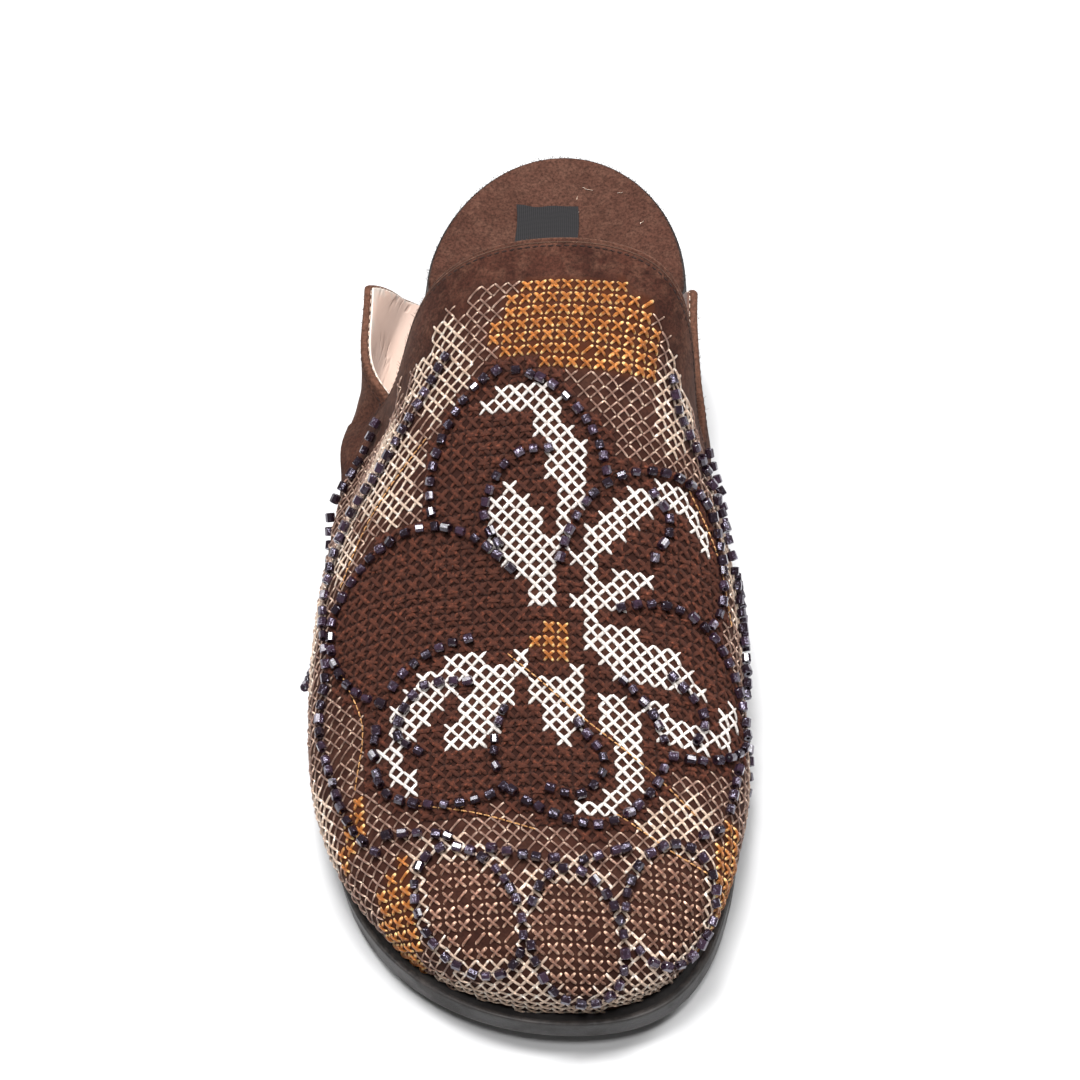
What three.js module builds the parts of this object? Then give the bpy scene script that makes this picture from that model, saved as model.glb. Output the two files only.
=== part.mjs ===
// A closed-toe clog slipper for the right foot: a rubber unit sole, a cupped footbed and a lasted
// upper with a high throat and a notch on each side.
// Millimetres. +Z is up, the toe points to -Y, and +X is the inner side of the foot.
// A station s is measured along the sole from the toe tip; y = s - LENGTH / 2.

import * as THREE from 'three';

const LENGTH = 258;            // sole, toe tip to heel
const WALL = 2.6;              // upper: outer material, interlining and lining
const GAP = 0.3;               // clearance between pieces that touch
const LIP_WALL = 1.3;          // thickness of the sole's lip
const LIP_SLANT = 0.4;         // how far the lip leans out over its height
const LIP_EDGE = 0.5;          // rounding of the lip's top edge
const BED_EDGE = 1.0;          // rounding of the footbed's top edge
const BED_EASE = 0.4;          // the footbed is smaller than the upper's inside by this
const WIDEN_S = 208;           // behind the ears the footbed widens to fill the lip
const WIDEN_LENGTH = 8;
const SOLE_EDGE = 1.2;         // rounding of the sole's bottom edge

const TOE_CAP = 63;            // length of the round toe outline
const TOE_POWER = 2.2;         // fullness of the toe outline
const HEEL_CAP = 45;           // length of the round heel outline
const TOE_INSET = 3.6;         // sole tip to the upper's feather edge

const NOSE_LENGTH = 34;        // how far back the toe box keeps rising in front
const NOSE_POWER = 2.3;        // fullness of the toe box, seen from the side
const BELLY_SHARE = 0.3;       // share of a rib that lies under the widest line
const BELLY_START = 1.6;       // how slowly a rib leaves the feather line
const POLE_S = 46;             // where the toe ribs meet on the ridge
const EAR_END_S = 206;         // where the ears run down to the sole
const EAR_END = 1.6;           // height left there
const EAR_POWER = 1.15;        // fullness of the ears behind their tip
const THROAT_S = 166;          // station of the throat's middle
const LEAN_S = 110;            // ribs start to lean towards the throat line here
const TUCK_S = 96;             // the flanks start to draw in towards the throat here
const TUCK_LOW = 36;           // the drawn-in part of the flank lies above this height
const FLARE_LOW = 23;          // the ears bend outwards above this height

const GROOVE_DEPTH = 2.2;      // main lugs, left between cross grooves
const GROOVE_WIDTH = 4;
const GROOVE_PITCH = 10;
const GROOVE_SHARE = 0.8;      // length of a groove over the sole's width
const TREADS = [{ from: 36, count: 8 }, { from: 196, count: 5 }];

// The last's bottom: middle line and half width of the feather line.
const LAST = [
  { s: 0, middle: 11.5, half: 47 },
  { s: 8, middle: 8.6, half: 46.8 },
  { s: 20, middle: 5.2, half: 46.6 },
  { s: 35, middle: 2.6, half: 46.4 },
  { s: 63, middle: 0.2, half: 46.8 },
  { s: 80, middle: -1, half: 46.2 },
  { s: 100, middle: -1.8, half: 44 },
  { s: 120, middle: -2.2, half: 40.8 },
  { s: 140, middle: -2.3, half: 37.5 },
  { s: 160, middle: -1.9, half: 35.3 },
  { s: 180, middle: -0.8, half: 34 },
  { s: 205, middle: 0.4, half: 33 },
  { s: 217, middle: 0.9, half: 32.2 },
  { s: 258, middle: 1.4, half: 31.2 },
];

// Heights of the sole's underside, floor and lip, and of the footbed's edge and middle;
// ledge is how far the sole stands outside the feather line.
const SOLE = [
  { s: 0, ground: 6.4, floor: 11.6, lip: 12.6, bed: 16.6, dish: 0.4, ledge: 3.4 },
  { s: 15, ground: 3.9, floor: 10.4, lip: 11.4, bed: 15.6, dish: 0.8, ledge: 2.4 },
  { s: 35, ground: 1.5, floor: 9.4, lip: 10.3, bed: 14.6, dish: 1.2, ledge: 2 },
  { s: 58, ground: 0, floor: 8.8, lip: 9.6, bed: 14, dish: 1.5, ledge: 1.9 },
  { s: 80, ground: 0, floor: 8.8, lip: 9.6, bed: 14, dish: 1.6, ledge: 2 },
  { s: 108, ground: 0, floor: 10.2, lip: 11, bed: 15.4, dish: 1.2, ledge: 1.8 },
  { s: 130, ground: 1.8, floor: 12.4, lip: 13.2, bed: 17.8, dish: 0.8, ledge: 1.8 },
  { s: 155, ground: 3.2, floor: 15.6, lip: 16.4, bed: 21, dish: 1, ledge: 1.8 },
  { s: 178, ground: 1.6, floor: 18.4, lip: 19.2, bed: 23.6, dish: 1.8, ledge: 1.8 },
  { s: 190, ground: 0, floor: 19.4, lip: 20.4, bed: 24.6, dish: 2.4, ledge: 1.8 },
  { s: 208, ground: 0, floor: 20, lip: 21.2, bed: 25.6, dish: 3, ledge: 1.8 },
  { s: 222, ground: 0, floor: 20.2, lip: 25.6, bed: 26.2, dish: 3.2, ledge: 1.8 },
  { s: 246, ground: 0, floor: 20.4, lip: 26.8, bed: 27, dish: 2.4, ledge: 1.8 },
  { s: 258, ground: 1.2, floor: 20.6, lip: 27.4, bed: 27.4, dish: 1, ledge: 1.8 },
];

// The upper's sections: how far each side stands out from the feather line at the widest line,
// the height of that line, the ridge's place and height, and the roundness of either flank.
const UPPER = [
  { s: 0, outer: 1.6, inner: 1.6, belly: 20, ridge: 9.5, crest: 33, outerRound: 2.2, innerRound: 2.2 },
  { s: 12, outer: 3, inner: 3, belly: 21, ridge: 8.2, crest: 36, outerRound: 2.25, innerRound: 2.25 },
  { s: 35, outer: 4.2, inner: 3.8, belly: 23, ridge: 6.2, crest: 41, outerRound: 2.25, innerRound: 2.3 },
  { s: 60, outer: 4.8, inner: 4.2, belly: 25, ridge: 4.6, crest: 47.5, outerRound: 2.2, innerRound: 2.3 },
  { s: 80, outer: 5.2, inner: 5, belly: 28, ridge: 4, crest: 55.5, outerRound: 2.1, innerRound: 2.35 },
  { s: 100, outer: 6, inner: 6.4, belly: 31, ridge: 4, crest: 67, outerRound: 2.05, innerRound: 2.4 },
  { s: 120, outer: 7.2, inner: 7.4, belly: 33, ridge: 4.6, crest: 78.5, outerRound: 2, innerRound: 2.5 },
  { s: 140, outer: 9.2, inner: 7.4, belly: 34, ridge: 6, crest: 88.2, outerRound: 2, innerRound: 2.8 },
  { s: 152, outer: 11.5, inner: 8, belly: 34.6, ridge: 7.2, crest: 91.7, outerRound: 2.12, innerRound: 4.2 },
  { s: 163, outer: 10, inner: 6.4, belly: 35, ridge: 8, crest: 94.1, outerRound: 2.28, innerRound: 5.9 },
  { s: 180, outer: 8.6, inner: 4.4, belly: 36, ridge: 8.6, crest: 97.4, outerRound: 2.12, innerRound: 3.2 },
  { s: 208, outer: 4.2, inner: 2.6, belly: 36, ridge: 9, crest: 100.8, outerRound: 2, innerRound: 2.9 },
];

// What differs between the outer and the inner side of the topline: the station and height of the
// notch and of the ear's tip, how far the ear bends out, and how far the throat is drawn in.
const TOPLINE = {
  outer: { notchS: 158, notchZ: 45.5, tipS: 186, tipZ: 55, flare: 4.5, tuck: 11.5 },
  inner: { notchS: 149, notchZ: 39.5, tipS: 186, tipZ: 52.5, flare: 1.6, tuck: 3.1 },
};

const clamp01 = (value) => Math.min(1, Math.max(0, value));
const easeInOut = (value) => clamp01(value) ** 2 * (3 - 2 * clamp01(value));
const mix = (from, to, share) => from + (to - from) * share;

// A smooth curve through one column of a table, which never overshoots its rows.
function curve(table, column) {
  const s = table.map((row) => row.s);
  const v = table.map((row) => row[column]);
  const last = s.length - 1;
  const slope = v.map((_, i) => (i < last ? (v[i + 1] - v[i]) / (s[i + 1] - s[i]) : 0));
  const tangent = v.map((_, i) => {
    if (i === 0) return slope[0];
    if (i === last) return slope[last - 1];
    if (slope[i - 1] * slope[i] <= 0) return 0;
    return 2 / (1 / slope[i - 1] + 1 / slope[i]);
  });
  return (at) => {
    const x = Math.min(s[last], Math.max(s[0], at));
    let i = 0;
    while (i < last - 1 && x > s[i + 1]) i += 1;
    const h = s[i + 1] - s[i];
    const t = (x - s[i]) / h;
    return (1 + 2 * t) * (1 - t) ** 2 * v[i] + t * (1 - t) ** 2 * h * tangent[i]
      + t * t * (3 - 2 * t) * v[i + 1] + t * t * (t - 1) * h * tangent[i + 1];
  };
}

const curves = (table) => Object.fromEntries(
  Object.keys(table[0]).filter((key) => key !== 's').map((key) => [key, curve(table, key)]),
);
const last = curves(LAST);
const sole = curves(SOLE);
const upper = curves(UPPER);

// Along-the-foot place t runs from 0 at the toe tip to 1 at the heel end of an outline. Both ends
// are round: share is the part of the half width that is reached there.
const T_TOE = 0.4;
const T_HEEL = 0.76;
function place(t, toeTip, heelEnd) {
  const heelCap = heelEnd - HEEL_CAP;
  if (t <= T_TOE) {
    const turn = (t / T_TOE) * Math.PI / 2;
    const power = 2 / TOE_POWER;
    return { s: toeTip + TOE_CAP * (1 - Math.cos(turn) ** power), share: Math.sin(turn) ** power };
  }
  if (t >= T_HEEL) {
    const turn = ((1 - t) / (1 - T_HEEL)) * Math.PI / 2;
    return { s: heelCap + HEEL_CAP * Math.cos(turn), share: Math.sin(turn) };
  }
  return { s: mix(toeTip + TOE_CAP, heelCap, (t - T_TOE) / (T_HEEL - T_TOE)), share: 1 };
}

// The input between 0 and 1 at which a rising function reaches a value.
function solve(rising, value) {
  let low = 0;
  let high = 1;
  for (let step = 0; step < 40; step += 1) {
    const middle = (low + high) / 2;
    if (rising(middle) < value) low = middle;
    else high = middle;
  }
  return low;
}

// The place t at which an outline passes a station.
const placeAt = (s, toeTip, heelEnd) => solve((t) => place(t, toeTip, heelEnd).s, s);

const point = (x, s, z) => new THREE.Vector3(x, s - LENGTH / 2, z);

// A point at place t of an outline, inset from its edge; across runs from -1 to 1 over its width,
// and height gives the point's z at its station.
function within(outline, t, across, inset, height) {
  const { s, share } = place(t, outline.toeTip + inset, outline.heelEnd - inset);
  const half = (outline.half(s) - inset) * share;
  return point(last.middle(s) + across * half, s, height(s, share));
}

// A mesh from points and triangles, with equal points joined and flat triangles dropped.
function solid(points, triangles) {
  const found = new Map();
  const kept = [];
  const index = points.map((p) => {
    const key = [p.x, p.y, p.z].map((value) => Math.round(value * 1e4)).join();
    if (!found.has(key)) {
      found.set(key, kept.length);
      kept.push(p);
    }
    return found.get(key);
  });
  const faces = triangles.map((face) => face.map((corner) => index[corner]))
    .filter(([a, b, c]) => a !== b && b !== c && c !== a);
  const geometry = new THREE.BufferGeometry();
  geometry.setAttribute('position', new THREE.Float32BufferAttribute(kept.flatMap((p) => p.toArray()), 3));
  geometry.setIndex(faces.flat());
  geometry.computeVertexNormals();
  return geometry;
}

// A closed body through a row of loops with the same number of points each; the first and
// last loop are narrowed to a line.
function loft(loops) {
  const size = loops[0].length;
  const triangles = [];
  for (let row = 0; row < loops.length - 1; row += 1) {
    for (let i = 0; i < size; i += 1) {
      const a = row * size + i;
      const b = row * size + ((i + 1) % size);
      triangles.push([a, b + size, b], [a, a + size, b + size]);
    }
  }
  return solid(loops.flat(), triangles);
}

const steps = (count, from, to) => Array.from({ length: count + 1 }, (_, i) => mix(from, to, i / count));

// ---- outsole -------------------------------------------------------------------------------

const soleOutline = { toeTip: 0, heelEnd: LENGTH, half: (s) => last.half(s) + sole.ledge(s) };

const grooveAt = (s) => TREADS.some(({ from, count }) => {
  const along = s - from;
  return along > 0 && along < count * GROOVE_PITCH && along % GROOVE_PITCH < GROOVE_WIDTH;
});

// One loop of the sole at place t: underside, side wall, lip and floor.
function soleLoop(t, grooved) {
  const { ground, lip, floor } = sole;
  const roof = (s) => ground(s) + (grooved ? GROOVE_DEPTH : 0);
  const at = (across, inset, height) => within(soleOutline, t, across, inset, height);
  const side = (way) => [
    at(way * GROOVE_SHARE, SOLE_EDGE, roof),
    at(way * GROOVE_SHARE, SOLE_EDGE, ground),
    at(way, SOLE_EDGE, ground),
    at(way, SOLE_EDGE * 0.3, (s) => ground(s) + SOLE_EDGE * 0.3),
    at(way, LIP_SLANT, (s) => ground(s) + SOLE_EDGE),
    at(way, 0, (s) => lip(s) - LIP_EDGE),
    at(way, LIP_EDGE, lip),
    at(way, LIP_WALL, (s) => lip(s) - LIP_EDGE / 3),
    at(way, LIP_WALL, floor),
  ];
  const middle = [-0.5, 0, 0.5];
  return [
    ...side(1),
    ...middle.map((c) => at(-c, LIP_WALL, floor)),
    ...side(-1).reverse(),
    ...middle.map((c) => at(c * GROOVE_SHARE, SOLE_EDGE, roof)),
  ];
}

function outsole() {
  const edges = TREADS.flatMap(({ from, count }) => steps(count - 1, 0, count - 1)
    .flatMap((i) => [from + i * GROOVE_PITCH, from + i * GROOVE_PITCH + GROOVE_WIDTH]));
  const underside = (t) => place(t, SOLE_EDGE, LENGTH - SOLE_EDGE).s;
  const regular = [
    ...steps(18, 0, T_TOE), ...steps(14, T_TOE, T_HEEL).slice(1), ...steps(12, T_HEEL, 1).slice(1),
  ];
  const plain = regular.filter((t) => !edges.some((edge) => Math.abs(edge - underside(t)) < 1.5));
  const cuts = edges.map((edge) => placeAt(edge, SOLE_EDGE, LENGTH - SOLE_EDGE));
  const loops = [];
  [...plain, ...cuts].sort((a, b) => a - b).forEach((t) => {
    const before = grooveAt(underside(t) - 0.1);
    const after = grooveAt(underside(t) + 0.1);
    loops.push(soleLoop(t, before));
    if (after !== before) loops.push(soleLoop(t, after));
  });
  return loft(loops);
}

// ---- footbed -------------------------------------------------------------------------------

// Inside the upper the footbed is narrower by the wall; behind the ears it fills the lip.
const bedOutline = {
  toeTip: TOE_INSET + WALL + GAP + BED_EASE,
  heelEnd: LENGTH - LIP_WALL - GAP,
  half: (s) => {
    const inUpper = last.half(s) - WALL - GAP - BED_EASE;
    const inLip = last.half(s) + sole.ledge(s) - LIP_WALL - GAP;
    return mix(inUpper, inLip, easeInOut((s - WIDEN_S) / WIDEN_LENGTH));
  },
};

function bedLoop(t) {
  const at = (across, inset, height) => within(bedOutline, t, across, inset, height);
  const base = (s) => sole.floor(s) + GAP;
  const hollow = (s, share, c) => sole.dish(s) * share * (1 - c * c) ** 1.5;
  const dished = (c) => at(c, BED_EDGE, (s, share) => sole.bed(s) - hollow(s, share, c));
  const side = (way) => [
    at(way, 0, base),
    at(way, 0, (s) => sole.bed(s) - BED_EDGE),
    at(way, BED_EDGE * 0.3, (s) => sole.bed(s) - BED_EDGE * 0.3),
  ];
  return [
    ...[-0.6, 0, 0.6].map((c) => at(c, 0, base)),
    ...side(1),
    ...[1, 0.8, 0.55, 0.28, 0, -0.28, -0.55, -0.8, -1].map(dished),
    ...side(-1).reverse(),
  ];
}

function footbed() {
  const bedPlace = (s) => placeAt(s, bedOutline.toeTip, bedOutline.heelEnd);
  return loft([
    ...steps(14, 0, T_TOE), ...steps(14, T_TOE, bedPlace(WIDEN_S)).slice(1),
    ...steps(4, bedPlace(WIDEN_S), bedPlace(WIDEN_S + WIDEN_LENGTH)).slice(1),
    ...steps(12, bedPlace(WIDEN_S + WIDEN_LENGTH), 1).slice(1),
  ].map(bedLoop));
}

// ---- upper ---------------------------------------------------------------------------------

// The two outlines of the upper at place t: side is -1 on the outer side, 1 on the inner.
function featherPoint(t, side) {
  const { s, share } = place(t, TOE_INSET, LENGTH);
  return point(last.middle(s) + side * share * last.half(s), s, sole.floor(s) + GAP);
}

function widestPoint(t, side) {
  const { s, share } = place(t, TOE_INSET - upper.outer(0), LENGTH);
  const spread = side < 0 ? upper.outer(s) : upper.inner(s);
  return point(last.middle(s) + side * share * (last.half(s) + spread), s, upper.belly(s));
}

// Height of the arch over a point of the plan.
function archHeight(x, s) {
  const tip = TOE_INSET - upper.outer(0);
  const { share } = place(placeAt(s, tip, LENGTH), tip, LENGTH);
  const side = x < upper.ridge(s) ? -1 : 1;
  const spread = side < 0 ? upper.outer(s) : upper.inner(s);
  const edge = last.middle(s) + side * share * (last.half(s) + spread);
  const ridge = mix(last.middle(s), upper.ridge(s), share);
  const across = clamp01((x - ridge) / (edge - ridge));
  const nose = clamp01((tip + NOSE_LENGTH - s) / NOSE_LENGTH);
  const rise = (upper.crest(s) - upper.belly(s)) * (1 - nose ** NOSE_POWER) ** (1 / NOSE_POWER);
  const round = side < 0 ? upper.outerRound(s) : upper.innerRound(s);
  return upper.belly(s) + rise * (1 - across ** round) ** (1 / round);
}

// A point of the outer skin: t along the foot, share up the rib from the feather line to the ridge.
function skinPoint(t, side, share) {
  const widest = widestPoint(t, side);
  if (share <= BELLY_SHARE) {
    const up = share / BELLY_SHARE;
    const feather = featherPoint(t, side);
    const out = 1 - (1 - up ** BELLY_START) ** 2;
    return new THREE.Vector3(
      mix(feather.x, widest.x, out), mix(feather.y, widest.y, out), mix(feather.z, widest.z, up),
    );
  }
  const s = widest.y + LENGTH / 2;
  const ridgeS = Math.max(POLE_S, s);
  const reach = Math.cos(((share - BELLY_SHARE) / (1 - BELLY_SHARE)) * Math.PI / 2);
  const x = mix(upper.ridge(ridgeS), widest.x, reach);
  const along = mix(ridgeS, s, reach);
  return point(x, along, archHeight(x, along));
}

// How far up its rib the skin reaches a height.
function shareAt(t, side, height) {
  return solve((share) => skinPoint(t, side, share).z, height);
}

// How far a flank is drawn in towards the throat line: most a little above its widest height.
function drawnIn(s, side, skin) {
  const { tuck } = side < 0 ? TOPLINE.outer : TOPLINE.inner;
  const flank = clamp01((skin.z - TUCK_LOW) / (upper.crest(skin.y + LENGTH / 2) - TUCK_LOW));
  return tuck * easeInOut((s - TUCK_S) / (THROAT_S - TUCK_S)) * Math.sin(flank ** 0.66 * Math.PI);
}

// The front's ribs end at the throat line. t is a rib's place on the ridge: lower down it lies
// further forward, so that the last rib comes down to the notch.
function frontPoint(t, side, share, notchShare) {
  const { notchS } = side < 0 ? TOPLINE.outer : TOPLINE.inner;
  const { s } = place(t, TOE_INSET, LENGTH);
  const lean = easeInOut((s - LEAN_S) / (THROAT_S - LEAN_S));
  const up = clamp01((share - notchShare) / (1 - notchShare));
  const forward = (THROAT_S - notchS) * lean * (1 - Math.sin(up * Math.PI / 2) ** 1.2);
  const moved = placeAt(s - forward, TOE_INSET, LENGTH);
  const skin = skinPoint(lean > 0 ? moved : t, side, share);
  skin.x -= side * drawnIn(s, side, skin);
  return skin;
}

// An ear is the skin carried on behind the notch, bending out towards its tip. Its top edge runs
// up from the notch to a blunt tip, then down to the sole. level is 0 at the sole, 1 at that edge.
function earPoint(s, side, level) {
  const { notchS, notchZ, tipS, tipZ, flare } = side < 0 ? TOPLINE.outer : TOPLINE.inner;
  const t = placeAt(s, TOE_INSET, LENGTH);
  const front = clamp01((s - notchS) / (tipS - notchS));
  const rear = clamp01((s - tipS) / (EAR_END_S - tipS));
  const rise = mix(notchZ, tipZ, front ** 0.75);
  const fall = (1 - rear ** EAR_POWER) ** (1 / EAR_POWER);
  const top = mix(sole.floor(s) + GAP + EAR_END, rise, fall);
  const skin = skinPoint(t, side, level * shareAt(t, side, top));
  const lift = clamp01((skin.z - FLARE_LOW) / (tipZ - FLARE_LOW));
  skin.x += side * (flare * front * lift ** 4 - drawnIn(THROAT_S, side, skin) * (1 - front) ** 5);
  return skin;
}

// Gives an open skin of points and triangles a wall on its inner side, closed at every free edge.
function shell(points, triangles) {
  const skin = solid(points, triangles);
  const position = skin.attributes.position;
  const normal = skin.attributes.normal;
  const count = position.count;
  const vector = (attribute, i) => new THREE.Vector3().fromBufferAttribute(attribute, i);
  const outer = Array.from({ length: count }, (_, i) => vector(position, i));
  const inner = outer.map((p, i) => {
    const inwards = p.clone().addScaledVector(vector(normal, i), -WALL);
    inwards.z = Math.max(inwards.z, sole.floor(inwards.y + LENGTH / 2) + GAP);
    return inwards;
  });
  const faces = [];
  const used = new Set();
  const corners = Array.from(skin.index.array);
  for (let i = 0; i < corners.length; i += 3) {
    const [a, b, c] = corners.slice(i, i + 3);
    faces.push([a, b, c], [a + count, c + count, b + count]);
    [[a, b], [b, c], [c, a]].forEach(([from, to]) => used.add(`${from},${to}`));
  }
  used.forEach((edge) => {
    const [from, to] = edge.split(',').map(Number);
    if (!used.has(`${to},${from}`)) faces.push([to, from, from + count], [to, from + count, to + count]);
  });
  return solid([...outer, ...inner], faces);
}

// The skin in four patches, a front and an ear on either side, given its wall. The ribs of both
// sides take their points at the same shares, two of which are the heights of the notches.
function upperShell() {
  const points = [];
  const triangles = [];
  // Adds a patch of the skin; flip is true where its rows run the other way round.
  const patch = (rows, flip) => {
    const first = points.length;
    const width = rows[0].length;
    rows.forEach((row) => points.push(...row));
    for (let r = 0; r < rows.length - 1; r += 1) {
      for (let c = 0; c < width - 1; c += 1) {
        const a = first + r * width + c;
        const quad = [[a, a + 1, a + width + 1], [a, a + width + 1, a + width]];
        triangles.push(...(flip ? quad.map(([p, q, w]) => [p, w, q]) : quad));
      }
    }
  };
  const sides = [-1, 1].map((side) => {
    const { notchS, notchZ, tipS } = side < 0 ? TOPLINE.outer : TOPLINE.inner;
    const notchShare = shareAt(placeAt(notchS, TOE_INSET, LENGTH), side, notchZ);
    return { side, notchS, tipS, notchShare };
  });
  const [low, high] = sides.map(({ notchShare }) => notchShare).sort((p, q) => p - q);
  const shares = [...steps(6, 0, low), high, ...steps(11, high, 1).slice(1)];
  const throatT = placeAt(THROAT_S, TOE_INSET, LENGTH);
  const along = [...steps(16, 0, T_TOE), ...steps(10, T_TOE, throatT).slice(1)];
  sides.forEach(({ side, notchS, tipS, notchShare }) => {
    const levels = shares.filter((share) => share <= notchShare).map((share) => share / notchShare);
    const earS = [...steps(6, notchS, tipS), ...steps(8, tipS, EAR_END_S).slice(1)];
    patch(along.map((t) => shares.map((share) => frontPoint(t, side, share, notchShare))), side > 0);
    patch(earS.map((s) => levels.map((level) => earPoint(s, side, level))), side > 0);
  });
  return shell(points, triangles);
}

// ---- assembly ------------------------------------------------------------------------------

function piece(name, geometry, color, roughness) {
  const mesh = new THREE.Mesh(geometry, new THREE.MeshStandardMaterial({ color, roughness, metalness: 0 }));
  mesh.name = name;
  return mesh;
}

const group = new THREE.Group();
group.add(piece('outsole', outsole(), 0x1d1d1f, 0.7));
group.add(piece('footbed', footbed(), 0x5a3527, 0.95));
group.add(piece('upper', upperShell(), 0x4c2a1e, 0.9));

export default group;
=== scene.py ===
import math

import bmesh
import bpy
import numpy as np
from mathutils import Matrix, Vector
from mathutils.bvhtree import BVHTree


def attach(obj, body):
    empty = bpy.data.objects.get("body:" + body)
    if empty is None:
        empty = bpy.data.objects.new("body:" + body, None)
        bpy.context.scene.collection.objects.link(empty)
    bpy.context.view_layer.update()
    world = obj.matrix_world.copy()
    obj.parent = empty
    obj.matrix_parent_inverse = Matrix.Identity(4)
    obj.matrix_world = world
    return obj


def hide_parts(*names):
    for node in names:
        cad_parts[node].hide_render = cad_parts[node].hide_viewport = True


# A closed-toe clog slipper for the right foot. Sizes here are in millimetres until a mesh is
# made: +Z is up, the toe points to -Y, +X is the inner side of the foot. A station s is measured
# along the sole from the toe tip; y = s - LENGTH / 2.

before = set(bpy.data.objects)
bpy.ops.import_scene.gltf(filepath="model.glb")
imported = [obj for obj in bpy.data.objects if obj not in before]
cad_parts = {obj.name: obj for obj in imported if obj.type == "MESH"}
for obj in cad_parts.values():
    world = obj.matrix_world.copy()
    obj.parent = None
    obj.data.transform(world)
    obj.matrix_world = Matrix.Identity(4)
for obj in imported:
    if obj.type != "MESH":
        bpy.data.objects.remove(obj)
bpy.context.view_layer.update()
scene = bpy.context.scene
MM = 0.001
rng = np.random.default_rng(7)

# ---- camera --------------------------------------------------------------------------------

EYE = Vector((55.1, -535.6, 709.2)) * MM
AIM = Vector((1.0, -8.0, 36.0)) * MM
LENS = 118.0
SENSOR = 36
NEAREST = 0.05
ROLL_DEG = -4.6

camera_data = bpy.data.cameras.new("view")
camera_data.lens = LENS
camera_data.sensor_width = SENSOR
camera_data.clip_start = NEAREST
camera = bpy.data.objects.new("view", camera_data)
camera.location = EYE
looking = (AIM - EYE).to_track_quat("-Z", "Y").to_matrix()
roll = Matrix.Rotation(math.radians(ROLL_DEG), 3, "Z")
camera.rotation_euler = (looking @ roll).to_euler()
scene.collection.objects.link(camera)
scene.camera = camera

# ---- sizes of the shoe ---------------------------------------------------------------------

LENGTH = 258
WALL, GAP = 2.6, 0.3
LIP_WALL, LIP_SLANT, LIP_EDGE, SOLE_EDGE = 1.3, 0.4, 0.5, 1.2
BED_EDGE, BED_EASE, WIDEN_S, WIDEN_LENGTH = 1.0, 0.4, 208, 8
TOE_CAP, TOE_POWER, HEEL_CAP, TOE_INSET = 63, 2.2, 45, 3.6
NOSE_LENGTH, NOSE_POWER = 34, 2.3
BELLY_SHARE, BELLY_START, POLE_S = 0.3, 1.6, 46
FLAP_END_S, FLAP_END, FLAP_POWER = 206, 1.6, 1.15
THROAT_S, LEAN_S, TUCK_S, TUCK_LOW, FLARE_LOW = 166, 110, 96, 36, 23
GROOVE_DEPTH, GROOVE_WIDTH, GROOVE_PITCH, GROOVE_SHARE = 2.2, 4, 10, 0.8
TREADS = ((36, 8), (196, 5))
T_TOE, T_HEEL = 0.4, 0.76

LAST_COLUMNS = ("s", "middle", "half")
LAST = [
    (0, 11.5, 47), (8, 8.6, 46.8), (20, 5.2, 46.6), (35, 2.6, 46.4), (63, 0.2, 46.8), (80, -1, 46.2),
    (100, -1.8, 44), (120, -2.2, 40.8), (140, -2.3, 37.5), (160, -1.9, 35.3), (180, -0.8, 34),
    (205, 0.4, 33), (217, 0.9, 32.2), (258, 1.4, 31.2),
]
SOLE_COLUMNS = ("s", "ground", "floor", "lip", "bed", "dish", "ledge")
SOLE = [
    (0, 6.4, 11.6, 12.6, 16.6, 0.4, 3.4), (15, 3.9, 10.4, 11.4, 15.6, 0.8, 2.4),
    (35, 1.5, 9.4, 10.3, 14.6, 1.2, 2), (58, 0, 8.8, 9.6, 14, 1.5, 1.9), (80, 0, 8.8, 9.6, 14, 1.6, 2),
    (108, 0, 10.2, 11, 15.4, 1.2, 1.8), (130, 1.8, 12.4, 13.2, 17.8, 0.8, 1.8),
    (155, 3.2, 15.6, 16.4, 21, 1, 1.8), (178, 1.6, 18.4, 19.2, 23.6, 1.8, 1.8),
    (190, 0, 19.4, 20.4, 24.6, 2.4, 1.8), (208, 0, 20, 21.2, 25.6, 3, 1.8),
    (222, 0, 20.2, 25.6, 26.2, 3.2, 1.8), (246, 0, 20.4, 26.8, 27, 2.4, 1.8),
    (258, 1.2, 20.6, 27.4, 27.4, 1, 1.8),
]
UPPER_COLUMNS = ("s", "outer", "inner", "belly", "ridge", "crest", "outer_round", "inner_round")
UPPER = [
    (0, 1.6, 1.6, 20, 9.5, 33, 2.2, 2.2), (12, 3, 3, 21, 8.2, 36, 2.25, 2.25),
    (35, 4.2, 3.8, 23, 6.2, 41, 2.25, 2.3), (60, 4.8, 4.2, 25, 4.6, 47.5, 2.2, 2.3),
    (80, 5.2, 5, 28, 4, 55.5, 2.1, 2.35), (100, 6, 6.4, 31, 4, 67, 2.05, 2.4),
    (120, 7.2, 7.4, 33, 4.6, 78.5, 2, 2.5), (140, 9.2, 7.4, 34, 6, 88.2, 2, 2.8),
    (152, 11.5, 8, 34.6, 7.2, 91.7, 2.12, 4.2), (163, 10, 6.4, 35, 8, 94.1, 2.28, 5.9),
    (180, 8.6, 4.4, 36, 8.6, 97.4, 2.12, 3.2), (208, 4.2, 2.6, 36, 9, 100.8, 2, 2.9),
]
# The free edge of either side, -1 for the outer: the foot of its notch, the tip of the flap
# behind it, how far the flap flares and how far the flank ahead of it is drawn in.
TOPLINE = {
    -1: dict(notch_s=158, notch_z=45.5, tip_s=186, tip_z=55, flare=4.5, tuck=11.5),
    1: dict(notch_s=149, notch_z=39.5, tip_s=186, tip_z=52.5, flare=1.6, tuck=3.1),
}


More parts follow.
